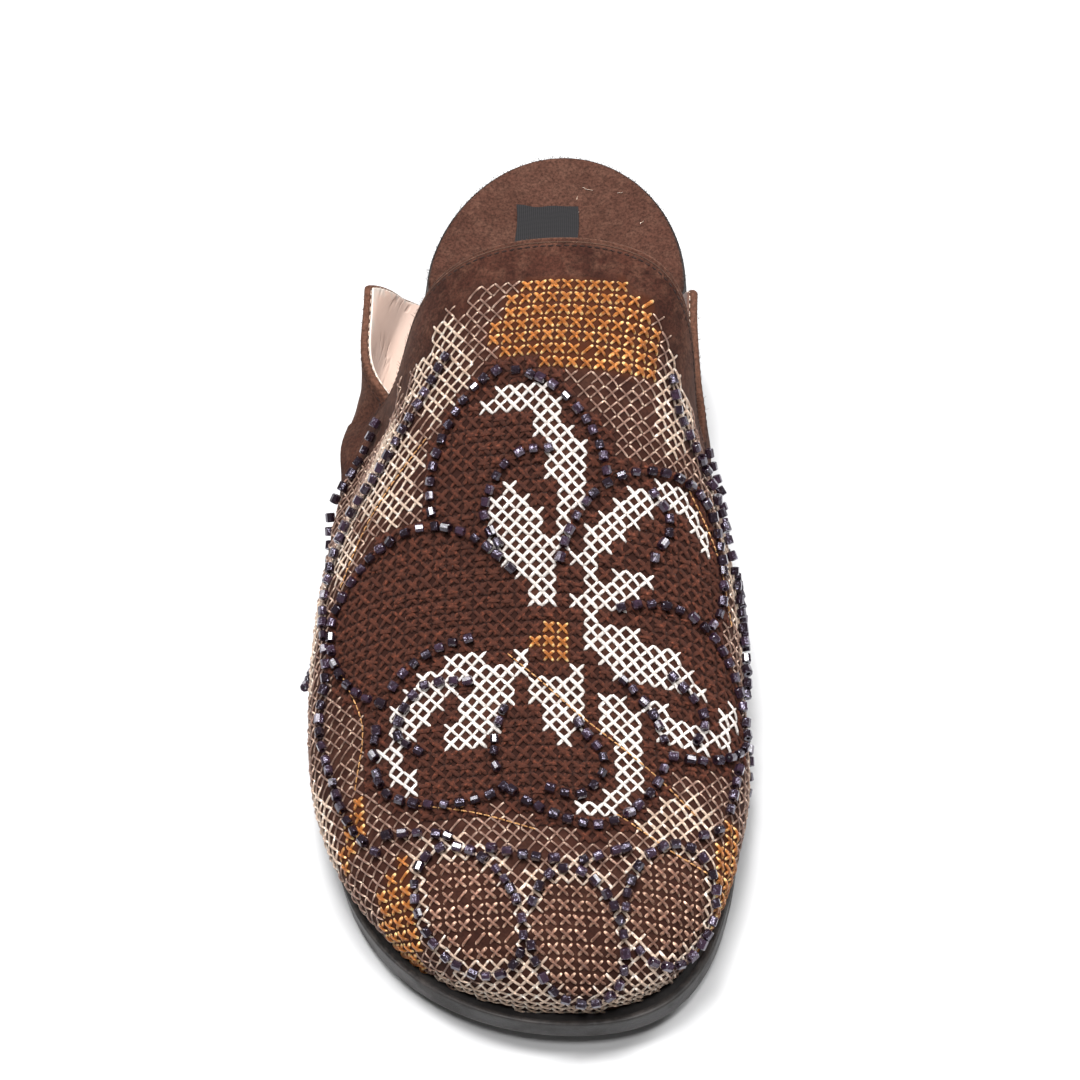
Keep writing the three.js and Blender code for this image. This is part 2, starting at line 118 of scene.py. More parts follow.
def bridge(t, a, b, slope_a, slope_b, step=1.0):
    """A cubic from a to b with a slope given at either end."""
    return (
        (1 + 2 * t) * (1 - t) ** 2 * a + t * (1 - t) ** 2 * step * slope_a
        + t * t * (3 - 2 * t) * b + t * t * (t - 1) * step * slope_b
    )


def curve(table, column):
    """A smooth curve through one column of a table that never overshoots it."""
    s = np.array([row[0] for row in table], float)
    v = np.array([row[column] for row in table], float)
    slope = np.diff(v) / np.diff(s)
    tangent = np.concatenate([slope[:1], np.zeros(len(s) - 2), slope[-1:]])
    for i in range(1, len(s) - 1):
        if slope[i - 1] * slope[i] > 0:
            tangent[i] = 2 / (1 / slope[i - 1] + 1 / slope[i])

    def at(where):
        x = np.clip(np.asarray(where, float), s[0], s[-1])
        i = np.clip(np.searchsorted(s, x, side="left") - 1, 0, len(s) - 2)
        h = s[i + 1] - s[i]
        return bridge((x - s[i]) / h, v[i], v[i + 1], tangent[i], tangent[i + 1], h)

    return at


def curves(table, columns):
    return {name: curve(table, k) for k, name in enumerate(columns) if k}


last = curves(LAST, LAST_COLUMNS)
sole = curves(SOLE, SOLE_COLUMNS)
upper = curves(UPPER, UPPER_COLUMNS)


def mix(a, b, share):
    return a + (b - a) * share


def ease(value):
    value = np.clip(value, 0, 1)
    return value * value * (3 - 2 * value)


def unit(v):
    return v / np.maximum(np.linalg.norm(v, axis=-1, keepdims=True), 1e-12)


def stacked(x, s, z):
    """Points (in mm) from places across, stations and heights."""
    x, s, z = np.broadcast_arrays(x, s, z)
    return np.stack([x, s - LENGTH / 2, z], axis=-1)


def place(t, toe_tip, heel_end):
    """Station and share of the half width at place t of an outline that is round at both ends."""
    t = np.asarray(t, float)
    heel_cap = heel_end - HEEL_CAP
    toe_turn = np.clip(t / T_TOE, 0, 1) * math.pi / 2
    heel_turn = np.clip((1 - t) / (1 - T_HEEL), 0, 1) * math.pi / 2
    power = 2 / TOE_POWER
    s = mix(toe_tip + TOE_CAP, heel_cap, (t - T_TOE) / (T_HEEL - T_TOE))
    s = np.where(t <= T_TOE, toe_tip + TOE_CAP * (1 - np.maximum(np.cos(toe_turn), 0) ** power), s)
    s = np.where(t >= T_HEEL, heel_cap + HEEL_CAP * np.cos(heel_turn), s)
    share = np.where(t <= T_TOE, np.sin(toe_turn) ** power, 1.0)
    share = np.where(t >= T_HEEL, np.sin(heel_turn), share)
    return s, share


def place_at(s, toe_tip, heel_end):
    """The place t at which such an outline passes a station."""
    s = np.asarray(s, float)
    heel_cap = heel_end - HEEL_CAP
    t = T_TOE + (s - toe_tip - TOE_CAP) / (heel_cap - toe_tip - TOE_CAP) * (T_HEEL - T_TOE)
    toe_turn = np.arccos(np.clip(1 - (s - toe_tip) / TOE_CAP, 0, 1) ** (TOE_POWER / 2))
    heel_turn = np.arccos(np.clip((s - heel_cap) / HEEL_CAP, 0, 1))
    toe = toe_turn / (math.pi / 2) * T_TOE
    heel = 1 - heel_turn / (math.pi / 2) * (1 - T_HEEL)
    return np.where(s < toe_tip + TOE_CAP, toe, np.where(s > heel_cap, heel, t))


def solve(rising, value, like):
    """Where between 0 and 1 a rising function reaches a value."""
    low, high = np.zeros_like(like), np.ones_like(like)
    for _ in range(40):
        middle = (low + high) / 2
        under = rising(middle) < value
        low, high = np.where(under, middle, low), np.where(under, high, middle)
    return low


# ---- the upper's outer skin ----------------------------------------------------------------

# Where the widest line of the upper passes over the toe.
WIDE_TIP = TOE_INSET - float(upper["outer"](0))


def arch_height(x, s):
    """Height of the skin over a point of the plan, above its widest line."""
    share = place(place_at(s, WIDE_TIP, LENGTH), WIDE_TIP, LENGTH)[1]
    outer_side = x < upper["ridge"](s)
    wide = np.where(outer_side, upper["outer"](s), upper["inner"](s))
    edge = last["middle"](s) + np.where(outer_side, -1, 1) * share * (last["half"](s) + wide)
    ridge = mix(last["middle"](s), upper["ridge"](s), share)
    across = np.clip((x - ridge) / np.where(np.abs(edge - ridge) < 1e-9, 1e-9, edge - ridge), 0, 1)
    nose = np.clip((WIDE_TIP + NOSE_LENGTH - s) / NOSE_LENGTH, 0, 1)
    rise = (upper["crest"](s) - upper["belly"](s)) * (1 - nose**NOSE_POWER) ** (1 / NOSE_POWER)
    rounding = np.where(outer_side, upper["outer_round"](s), upper["inner_round"](s))
    return upper["belly"](s) + rise * (1 - across**rounding) ** (1 / rounding)


def skin_point(t, side, share):
    """The skin before the topline is cut: share runs up a rib, from the feather line to the ridge."""
    s, part = place(t, WIDE_TIP, LENGTH)
    spread = upper["outer"](s) if side < 0 else upper["inner"](s)
    wide_x = last["middle"](s) + side * part * (last["half"](s) + spread)
    feather_s, part = place(t, TOE_INSET, LENGTH)
    feather_x = last["middle"](feather_s) + side * part * last["half"](feather_s)
    up = np.clip(share / BELLY_SHARE, 0, 1)
    out = 1 - (1 - up**BELLY_START) ** 2
    ridge_s = np.maximum(POLE_S, s)
    reach = np.cos(np.clip((share - BELLY_SHARE) / (1 - BELLY_SHARE), 0, 1) * math.pi / 2)
    high_x = mix(upper["ridge"](ridge_s), wide_x, reach)
    high_s = mix(ridge_s, s, reach)
    low = share <= BELLY_SHARE
    x = np.where(low, mix(feather_x, wide_x, out), high_x)
    along = np.where(low, mix(feather_s, s, out), high_s)
    z = np.where(
        low, mix(sole["floor"](feather_s) + GAP, upper["belly"](s), up), arch_height(high_x, high_s)
    )
    return x, along, z


def drawn_in(s, side, along, height):
    """How far a flank is drawn in towards the throat line."""
    flank = np.clip((height - TUCK_LOW) / (upper["crest"](along) - TUCK_LOW), 0, 1)
    amount = TOPLINE[side]["tuck"] * ease((s - TUCK_S) / (THROAT_S - TUCK_S))
    return amount * np.sin(flank**0.66 * math.pi)


def notch_share(side):
    """How far up its rib the foot of a side notch lies."""
    t = place_at(TOPLINE[side]["notch_s"], TOE_INSET, LENGTH)
    z = TOPLINE[side]["notch_z"]
    return float(solve(lambda share: skin_point(t, side, share)[2], z, np.zeros(1))[0])


def front_point(t, side, share):
    """The skin ahead of the notches, with its ribs leaning forward down from the throat."""
    top = TOPLINE[side]
    s = place(t, TOE_INSET, LENGTH)[0]
    lean = ease((s - LEAN_S) / (THROAT_S - LEAN_S))
    notch = notch_share(side)
    up = np.clip((share - notch) / (1 - notch), 0, 1)
    forward = (THROAT_S - top["notch_s"]) * lean * (1 - np.sin(up * math.pi / 2) ** 1.2)
    moved = np.where(lean > 0, place_at(s - forward, TOE_INSET, LENGTH), t)
    x, along, z = skin_point(moved, side, share)
    return x - side * drawn_in(s, side, along, z), along, z


def flap_point(s, side, level):
    """The low flap behind a notch: level runs from the feather line up to its free edge."""
    top = TOPLINE[side]
    t = place_at(s, TOE_INSET, LENGTH)
    front = np.clip((s - top["notch_s"]) / (top["tip_s"] - top["notch_s"]), 0, 1)
    rear = np.clip((s - top["tip_s"]) / (FLAP_END_S - top["tip_s"]), 0, 1)
    rise = mix(top["notch_z"], top["tip_z"], front**0.75)
    fall = (1 - rear**FLAP_POWER) ** (1 / FLAP_POWER)
    height = mix(sole["floor"](s) + GAP + FLAP_END, rise, fall)
    edge_share = solve(lambda share: skin_point(t, side, share)[2], height, np.zeros_like(height))
    x, along, z = skin_point(t, side, level * edge_share)
    lift = np.clip((z - FLARE_LOW) / (top["tip_z"] - FLARE_LOW), 0, 1)
    bend = top["flare"] * front * lift**4 - drawn_in(THROAT_S, side, along, z) * (1 - front) ** 5
    return x + side * bend, along, z


def rib_shares():
    """Where the rows of the skin's grids run on a rib, with a row at the foot of either notch."""
    low, high = sorted(notch_share(side) for side in (-1, 1))
    return np.concatenate([
        np.linspace(0, low, 24), np.linspace(low, high, 4)[1:], np.linspace(high, 1, 38)[1:],
    ])


def skin_patches():
    """Grids of the skin: a front and a flap on either side, with rows running along the foot."""
    shares = rib_shares()
    throat_t = float(place_at(THROAT_S, TOE_INSET, LENGTH))
    t = np.concatenate([np.linspace(0, T_TOE, 54), np.linspace(T_TOE, throat_t, 44)[1:]])
    patches = []
    for side in (-1, 1):
        top = TOPLINE[side]
        notch = notch_share(side)
        level = shares[shares <= notch + 1e-9] / notch
        s = np.concatenate([
            np.linspace(top["notch_s"], top["tip_s"], 24), np.linspace(top["tip_s"], FLAP_END_S, 26)[1:],
        ])
        patches.append((side, stacked(*front_point(t[:, None], side, shares[None, :]))))
        patches.append((side, stacked(*flap_point(s[:, None], side, level[None, :]))))
    return patches


# ---- mesh helpers --------------------------------------------------------------------------


def add_grid(bm, points, flip=False):
    """A grid of the mesh, shaped to rows of points (in mm)."""
    rows, columns = points.shape[:2]
    made = bmesh.ops.create_grid(bm, x_segments=columns - 1, y_segments=rows - 1, size=1)["verts"]
    for v in made:
        c = round((v.co.x + 1) / 2 * (columns - 1))
        r = round((v.co.y + 1) / 2 * (rows - 1))
        v.co = points[r, c] * MM
    if flip:
        bmesh.ops.reverse_faces(bm, faces=list({f for v in made for f in v.link_faces}))


def show(name, mesh, material, replaces=(), crease=None):
    """Makes a finished mesh a piece of the shoe."""
    piece = bpy.data.objects.new(name, mesh)
    scene.collection.objects.link(piece)
    mesh.materials.append(material)
    mesh.shade_smooth()
    if crease:
        mesh.set_sharp_from_angle(angle=math.radians(crease))
    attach(piece, "root")
    if replaces:
        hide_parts(*replaces)


# Points this close become one, and edges this short are dropped. These are in metres.
MERGE, BODY_MERGE, SLIVER = 2e-6, 3e-6, 1e-7


def to_mesh(bm, name):
    mesh = bpy.data.meshes.new(name)
    bm.to_mesh(mesh)
    bm.free()
    return mesh


def array_mesh(name, verts, faces, uv=None, marks=None):
    """A mesh of many equal small things, from arrays of points (in mm) and faces."""
    mesh = bpy.data.meshes.new(name)
    mesh.from_pydata((verts * MM).tolist(), [], faces)
    if uv is not None:
        layer = mesh.uv_layers.new(name="along")
        index = np.empty(len(mesh.loops), np.int32)
        mesh.loops.foreach_get("vertex_index", index)
        layer.data.foreach_set("uv", uv[index].astype(np.float32).ravel())
    for mark, values in (marks or {}).items():
        values = np.ascontiguousarray(values, np.float32).ravel()
        mesh.attributes.new(mark, "FLOAT", "POINT").data.foreach_set("value", values)
    mesh.update()
    return mesh


def strands(name, paths, normals, half_width, half_height, sides=6, shape=(0.55, 1, 1, 0.55)):
    """Threads lying on the skin: paths and normals are (count, points, 3) arrays.

    Each vertex is marked with a tint, drawn for the whole thread, and a sink that grows from 0 in
    the middle of the thread to 1 at its ends.
    """
    count, points = paths.shape[:2]
    tangent = unit(np.gradient(paths, axis=1))
    across = unit(np.cross(tangent, normals))
    up = np.cross(across, tangent)
    turn = np.arange(sides) / sides * 2 * math.pi
    taper = np.interp(np.linspace(0, 1, points), np.linspace(0, 1, len(shape)), shape)
    wide, high = (
        np.broadcast_to(np.asarray(half, float), (count,))[:, None, None, None] * taper[None, :, None, None]
        for half in (half_width, half_height)
    )
    ring = (
        paths[:, :, None, :] + across[:, :, None, :] * wide * np.cos(turn)[None, None, :, None]
        + up[:, :, None, :] * high * np.sin(turn)[None, None, :, None]
    )
    verts = ring.reshape(-1, 3)
    step = np.arange(points - 1)[:, None] * sides
    a = step + np.arange(sides)[None, :]
    b = step + (np.arange(sides)[None, :] + 1) % sides
    quads = np.stack([a, b, b + sides, a + sides], axis=-1).reshape(-1, 4)
    start = np.arange(count)[:, None, None] * points * sides
    body = (quads[None] + start).reshape(-1, 4)
    caps = np.stack([np.arange(sides)[::-1], np.arange(sides) + (points - 1) * sides])
    ends = (caps[None] + start).reshape(-1, sides)
    length = np.linalg.norm(np.diff(paths, axis=1), axis=-1).cumsum(axis=1)
    length = np.concatenate([np.zeros((count, 1)), length], axis=1)
    uv = np.stack(np.broadcast_arrays(turn[None, None, :] / (2 * math.pi), length[:, :, None]), axis=-1)
    part = length / length[:, -1:]
    marks = {
        "sink": np.broadcast_to((np.abs(2 * part - 1) ** 2)[:, :, None], (count, points, sides)),
        "tint": np.broadcast_to(rng.random((count, 1, 1)), (count, points, sides)),
    }
    return array_mesh(name, verts, body.tolist() + ends.tolist(), uv.reshape(-1, 2), marks)


# ---- the stitch net ------------------------------------------------------------------------

PITCH = 3.3
BELOW = 5
HALF_COLUMNS = 34
CROSS_S = 96.0
EDGE_STEP = 0.5
ROUNDS, QUICK_ROUNDS = 30, 8
KNOT_TRIES, KNOT_DAMPING, KNOT_OFF = 7, 0.02, 1.3
DIAGONAL, DIAGONAL_STRENGTH, PUSH = 1.414, 0.3, 1.2


def net_surface():
    """The skin for laying the net on, run on a little below the feather line."""
    verts, faces = [], []
    for side, grid in skin_patches():
        low = grid[:, :1] + unit(grid[:, :1] - grid[:, 1:2]) * BELOW
        grid = np.concatenate([low, grid], axis=1)
        rows, columns = grid.shape[:2]
        first = sum(len(v) for v in verts)
        verts.append(grid.reshape(-1, 3))
        a = (np.arange(rows - 1)[:, None] * columns + np.arange(columns - 1)[None, :]).ravel() + first
        quad = np.stack([a, a + 1, a + columns + 1, a + columns], axis=-1)
        faces.append(quad if side < 0 else quad[:, ::-1])
    return BVHTree.FromPolygons(np.concatenate(verts).tolist(), np.concatenate(faces).tolist())


surface = net_surface()


def on_skin(point):
    """The nearest point of the skin, and the skin's normal there."""
    where, normal = surface.find_nearest(Vector(point))[:2]
    return np.array(where), np.array(normal)


def all_on_skin(points):
    found = [surface.find_nearest(Vector(p)) for p in points.reshape(-1, 3)]
    where = np.array([f[0] for f in found]).reshape(points.shape)
    normal = np.array([f[1] for f in found]).reshape(points.shape)
    return where, normal


def spaced(line, step):
    """Points at equal steps along a polyline, with the rest length left over."""
    length = np.concatenate([[0], np.linalg.norm(np.diff(line, axis=0), axis=1).cumsum()])
    at = np.arange(0.0, length[-1], step)
    return np.stack([np.interp(at, length, line[:, k]) for k in range(3)], axis=-1)


def topline():
    """The upper's free edge from the outer flap's end over the throat to the inner flap's end."""
    throat_t = place_at(THROAT_S, TOE_INSET, LENGTH)
    parts = []
    for side in (-1, 1):
        top = TOPLINE[side]
        s = np.concatenate([
            FLAP_END_S - (FLAP_END_S - top["tip_s"]) * np.linspace(0, 1, 40) ** 2,
            np.linspace(top["tip_s"], top["notch_s"], 24)[1:],
        ])
        flap = stacked(*flap_point(s, side, np.ones_like(s)))
        share = np.linspace(notch_share(side), 1, 60)
        throat = stacked(*front_point(np.full_like(share, throat_t), side, share))
        parts.append(np.concatenate([flap, throat[1:]]))
    return np.concatenate([parts[0], parts[1][::-1][1:]])


edge_line = spaced(topline(), EDGE_STEP)

# The net starts from the ridge, from the feather line over the nose to the throat, and one rib.
nose_share = np.linspace(0, 1, 80)
nose_line = stacked(*front_point(np.zeros_like(nose_share), -1, nose_share))
nose_line = np.concatenate([nose_line[:1] + unit(nose_line[:1] - nose_line[1:2]) * BELOW, nose_line])
ridge_s = np.arange(POLE_S, THROAT_S, 1.0)
ridge_line = stacked(upper["ridge"](ridge_s), ridge_s, upper["crest"](ridge_s))
spine = spaced(np.concatenate([nose_line, ridge_line]), PITCH)
cross_row = int(np.argmin(np.abs(spine[:, 1] - (CROSS_S - LENGTH / 2)) - (spine[:, 2] > 50)))
cross_t = place_at(spine[cross_row, 1] + LENGTH / 2, TOE_INSET, LENGTH)
ROWS = len(spine)
net = np.full((2 * HALF_COLUMNS + 1, ROWS, 3), np.nan)
net[HALF_COLUMNS] = spine
for side in (-1, 1):
    rib_share = np.linspace(1, 0, 160)
    rib = stacked(*front_point(np.full_like(rib_share, cross_t), side, rib_share))
    rib = np.concatenate([rib, rib[-1:] + unit(rib[-1:] - rib[-2:-1]) * BELOW])
    rib[0] = spine[cross_row]
    laid = spaced(rib, PITCH)
    for i in range(1, min(len(laid), HALF_COLUMNS + 1)):
        net[HALF_COLUMNS + side * i, cross_row] = laid[i]


def knot(a, b, before):
    """The point of the skin one pitch from both a and b, on the far side from a third knot."""
    q, normal = on_skin(a + b - before)
    for _ in range(KNOT_TRIES):
        e1 = unit(np.cross(normal, b - a))
        e2 = np.cross(normal, e1)
        da, db = q - a, q - b
        la, lb = np.linalg.norm(da), np.linalg.norm(db)
        if la < 1e-6 or lb < 1e-6:
            return None
        turned = np.array([[da @ e1, da @ e2], [db @ e1, db @ e2]]) / np.array([[la], [lb]])
        steady = turned.T @ turned + np.eye(2) * KNOT_DAMPING
        move = np.linalg.lstsq(steady, turned.T @ np.array([PITCH - la, PITCH - lb]), rcond=None)[0]
        q, normal = on_skin(q + e1 * move[0] + e2 * move[1])
    if any(abs(np.linalg.norm(q - end) - PITCH) > KNOT_OFF for end in (a, b)):
        return None
    return q


for side in (-1, 1):
    for up in (-1, 1):
        for i in range(1, HALF_COLUMNS + 1):
            column = HALF_COLUMNS + side * i
            row = cross_row + up
            while 0 <= row < ROWS:
                a, b = net[column - side, row], net[column, row - up]
                before = net[column - side, row - up]
                if np.isnan(a[0]) or np.isnan(b[0]) or np.isnan(before[0]):
                    break
                q = knot(a, b, before)
                if q is None:
                    break
                net[column, row] = q
                row += up


LINKS = (
    (1, 0, PITCH, 1.0), (0, 1, PITCH, 1.0), (1, 1, PITCH * DIAGONAL, DIAGONAL_STRENGTH),
    (1, -1, PITCH * DIAGONAL, DIAGONAL_STRENGTH),
)


def eased_net(net, rounds):
    """Evens out the net's sides and corners, keeping it on the skin."""
    live = ~np.isnan(net[..., 0])
    for _ in range(rounds):
        push = np.zeros_like(net)
        weight = np.zeros(net.shape[:2])
        for di, dj, length, strength in LINKS:
            i0, i1 = slice(0, -di or None), slice(di, None)
            j0, j1 = slice(0, -dj or None), slice(dj, None)
            if dj < 0:
                j0, j1 = slice(1, None), slice(0, -1)
            a, b = net[i0, j0], net[i1, j1]
            both = live[i0, j0] & live[i1, j1]
            d = np.where(both[..., None], b - a, 1.0)
            size = np.linalg.norm(d, axis=-1, keepdims=True)
            pull = np.where(both[..., None], d * (1 - length / size) * 0.5 * strength, 0)
            push[i0, j0] += pull
            push[i1, j1] -= pull
            weight[i0, j0] += both * strength
            weight[i1, j1] += both * strength
        moved = net[live] + push[live] / np.maximum(weight[live], 1)[:, None] * PUSH
        net = net.copy()
        net[live] = all_on_skin(moved)[0]
    return net


net = eased_net(net, ROUNDS)

# ---- paints and finishes -------------------------------------------------------------------

ALBEDO, BRIGHTEST = 0.42, 0.95


def tone(*shown):
    """The paint that shows as about the given colour (0-255 values) in this scene's light.

    Fine threads and the shaded lining look darker than their paint, so theirs go over 255.
    """
    paint = [min(BRIGHTEST, ((c / 255 + 0.055) / 1.055) ** 2.4 * ALBEDO) for c in shown]
    return (*paint, 1)


class Board:
    """Lays out the nodes of a material or a node group."""

    def __init__(self, tree):
        self.tree = tree

    def link(self, value, socket):
        """Feeds a socket from another one, or sets it to a plain value."""
        if isinstance(value, bpy.types.NodeSocket):
            self.tree.links.new(value, socket)
        else:
            socket.default_value = value

    def add(self, kind, inputs=(), **settings):
        made = self.tree.nodes.new("ShaderNode" + kind)
        for key, value in settings.items():
            setattr(made, key, value)
        for key, value in dict(inputs).items():
            self.link(value, made.inputs[key])
        return made

    def noise(self, where, scale, detail=3.0, rough=0.55, distortion=0.0):
        given = {"Vector": where, "Scale": scale, "Detail": detail, "Roughness": rough}
        given["Distortion"] = distortion
        return self.add("TexNoise", given).outputs["Fac"]

    def spread(self, value, low, high, to_low=0.0, to_high=1.0):
        given = {"Value": value, "From Min": low, "From Max": high, "To Min": to_low, "To Max": to_high}
        return self.add("MapRange", given, interpolation_type="SMOOTHSTEP").outputs["Result"]

    def math(self, operation, a, b=0.0):
        return self.add("Math", {0: a, 1: b}, operation=operation).outputs[0]

    def plus(self, a, b):
        return self.math("ADD", a, b)

    def minus(self, a, b):
        return self.math("SUBTRACT", a, b)

    def times(self, a, b):
        return self.math("MULTIPLY", a, b)

    def grey(self, value):
        return self.add("CombineColor", {0: value, 1: value, 2: value}).outputs[0]

    def painted(self, mark):
        return self.add("Attribute", attribute_name=mark).outputs["Fac"]

    def blend(self, share, a, b, how="MIX"):
        made = self.tree.nodes.new("ShaderNodeMix")
        made.data_type = "RGBA"
        made.blend_type = how
        for key, value in (("Factor", share), (6, a), (7, b)):
            self.link(value, made.inputs[key])
        return made.outputs[2]


BLACK, WHITE = (0, 0, 0, 1), (1, 1, 1, 1)


def new_group(name, inputs):
    """A node group with the named inputs. It gives out a colour and the height of its relief."""
    group = bpy.data.node_groups.new(name, "ShaderNodeTree")
    for label, value in inputs.items():
        kind = "Vector" if value is None else "Float" if isinstance(value, float) else "Color"
        socket = group.interface.new_socket(name=label, in_out="INPUT", socket_type="NodeSocket" + kind)
        if value is not None:
            socket.default_value = value
    for label, kind in (("Color", "Color"), ("Height", "Float")):
        group.interface.new_socket(name=label, in_out="OUTPUT", socket_type="NodeSocket" + kind)
    source = group.nodes.new("NodeGroupInput")
    result = group.nodes.new("NodeGroupOutput")
    return group, Board(group), source.outputs, result.inputs


def nap_group():
    """Suede nap: brushed patches, a fine fibre grain and the height of the nap."""
    inputs = {"Place": None, "Dark": BLACK, "Middle": BLACK, "Light": BLACK, "Paled": 0.0}
    group, board, given, result = new_group("nap", inputs)
    where = given["Place"]
    patch = board.spread(board.noise(where, 95, 5, 0.65, 0.5), 0.33, 0.68)
    brushed = board.spread(board.noise(where, 260, 3, 0.6, 0.4), 0.4, 0.72)
    fibre = board.noise(where, 1300, 4, 0.75)
    color = board.blend(patch, given["Dark"], given["Middle"])
    color = board.blend(board.times(brushed, 0.5), color, given["Light"])
    color = board.blend(given["Paled"], color, given["Light"])
    speck = board.grey(board.spread(fibre, 0.3, 0.7, 0.5, 1.5))
    board.link(board.blend(1.0, color, speck, "MULTIPLY"), result["Color"])
    board.link(board.plus(board.times(fibre, 0.6), board.times(brushed, 0.5)), result["Height"])
    return group


# Two plies: the phase makes two full turns round the thread.
PLY_TURN = 12.566


def yarn_group():
    """Twisted thread: ply lines along it with painted shade in their grooves, uneven colour,
    painted glints, and ends with painted shade or a painted highlight.

    Sink is the mark that grows towards a thread's ends. The end shading input is how much
    painted shade darkens them, or below 0 how much a painted highlight brightens them, and Tip is
    the colour of a painted highlight that they catch in places.
    """
    inputs = {
        "Place": None, "Along": None, "Color": WHITE, "Shade": BLACK, "Tip": BLACK, "Turns": 900.0,
        "EndShading": 0.5, "Sink": 0.0, "Tint": 0.5,
    }
    group, board, given, result = new_group("ply", inputs)
    where = given["Place"]
    split = board.add("SeparateXYZ", {"Vector": given["Along"]}).outputs
    phase = board.plus(board.times(split[0], PLY_TURN), board.times(split[1], given["Turns"]))
    ply = board.plus(board.times(board.math("SINE", phase), 0.5), 0.5)
    uneven = board.spread(board.noise(where, 420, 2), 0.35, 0.7)
    fibre = board.noise(where, 3200, 2, 0.7)
    # Painted shade in the grooves between the plies, with uneven tone and each thread's own tint.
    dip = board.times(board.minus(1.0, ply), 0.35)
    groove_shade_and_tone = board.plus(dip, board.times(board.plus(uneven, given["Tint"]), 0.3))
    color = board.blend(groove_shade_and_tone, given["Color"], given["Shade"])
    # Painted highlight: the tip colour in patches towards the ends.
    patchy = board.spread(board.noise(where, 1000, 1), 0.36, 0.6)
    shine = board.times(board.spread(given["Sink"], 0.15, 0.75), patchy)
    color = board.blend(board.times(shine, 0.85), color, given["Tip"])
    # Painted shade at the ends, or a painted highlight where the end shading is below 0, then painted
    # glints.
    left = board.minus(1.0, board.times(given["Sink"], given["EndShading"]))
    glint = board.spread(board.noise(where, 1200, 1), 0.56, 0.7)
    shade = board.grey(board.plus(left, glint))
    board.link(board.blend(1.0, color, shade, "MULTIPLY"), result["Color"])
    board.link(board.plus(ply, board.times(fibre, 0.8)), result["Height"])
    return group


NAP, PLY = nap_group(), yarn_group()


SHEEN_ROUGHNESS = 0.45


def finish(name, roughness, sheen=0.0, sheen_tint=WHITE, coat=0.0, specular=0.5):
    """A plain material, with its board, its shader's sockets and the place on the shoe."""
    material = bpy.data.materials.new(name)
    material.use_nodes = True
    board = Board(material.node_tree)
    shader = material.node_tree.nodes["Principled BSDF"].inputs
    settings = {
        "Roughness": roughness, "Sheen Weight": sheen, "Sheen Roughness": SHEEN_ROUGHNESS,
        "Sheen Tint": sheen_tint, "Coat Weight": coat, "Specular IOR Level": specular,
    }
    for key, value in settings.items():
        shader[key].default_value = value
    where = board.add("TexCoord").outputs["Object"]
    return material, board, shader, where


def bump(board, shader, height, distance, strength):
    made = board.add("Bump", {"Height": height, "Distance": distance, "Strength": strength})
    board.link(made.outputs["Normal"], shader["Normal"])


def suede(name, dark, middle, light, sewn_over):
    """Brushed suede, paler where it is marked; painted shade and a warmer tint under the needlework."""
    material, board, shader, where = finish(name, 0.95, 0.12, tone(196, 160, 140), specular=0.15)
    given = {"Place": where, "Dark": dark, "Middle": middle, "Light": light, "Paled": board.painted("paled")}
    group = board.add("Group", node_tree=NAP)
    for key, value in given.items():
        board.link(value, group.inputs[key])
    color = group.outputs["Color"]
    if sewn_over:
        # Painted shade on the ground under the needlework, then the warm tint of the ochre's ground.
        color = board.blend(board.painted("under"), color, tone(66, 36, 28))
        color = board.blend(board.painted("warm"), color, tone(98, 50, 27))
    board.link(color, shader["Base Color"])
    bump(board, shader, group.outputs["Height"], 0.00025, 0.7)
    return material


def yarn(name, color, shade, roughness, sheen=0.05, turns=900.0, depth=0.0001, end_shading=0.4, tip=None):
    material, board, shader, where = finish(name, roughness, sheen, color, specular=0.35)
    given = {
        "Place": where, "Along": board.add("UVMap", uv_map="along").outputs["UV"], "Color": color,
        "Shade": shade, "Tip": tip or color, "Turns": turns, "EndShading": end_shading,
        "Sink": board.painted("sink"), "Tint": board.painted("tint"),
    }
    group = board.add("Group", node_tree=PLY)
    for key, value in given.items():
        board.link(value, group.inputs[key])
    board.link(group.outputs["Color"], shader["Base Color"])
    bump(board, shader, group.outputs["Height"], depth, 0.8)
    return material


def leather_lining():
    """Thin pale leather, its broken creases in painted shade, a cooler cut edge, brown where it is marked
    so.
    """
    material, board, shader, where = finish("lining_leather", 0.62, 0.1, specular=0.3)
    drawn = {"Vector": where, "Rotation": (0.5, 0.4, 0.3), "Scale": (1.0, 0.45, 1.0)}
    stretched = board.add("Mapping", drawn).outputs["Vector"]
    folded = {"Vector": stretched, "Scale": 95, "Detail": 2, "Distortion": 1.2}
    fold = board.add("TexNoise", folded).outputs["Fac"]
    crease = board.spread(board.math("ABSOLUTE", board.minus(fold, 0.5)), 0.0, 0.07)
    broken = board.spread(board.noise(where, 60, 2), 0.45, 0.62)
    creased = board.times(board.minus(1.0, crease), broken)
    cloud = board.spread(board.noise(where, 45), 0.35, 0.65)
    tint = board.blend(cloud, tone(334, 294, 272), tone(320, 276, 252))
    # Painted shade in the creases.
    tint = board.blend(board.times(creased, 0.4), tint, tone(244, 200, 180))
    tint = board.blend(board.painted("edge"), tint, tone(300, 282, 266))
    tint = board.blend(board.painted("brown"), tint, tone(146, 106, 89))
    board.link(tint, shader["Base Color"])
    pore = board.noise(where, 2600, 2)
    height = board.plus(board.minus(1.0, creased), board.times(pore, 0.25))
    bump(board, shader, height, 0.0003, 0.7)
    return material


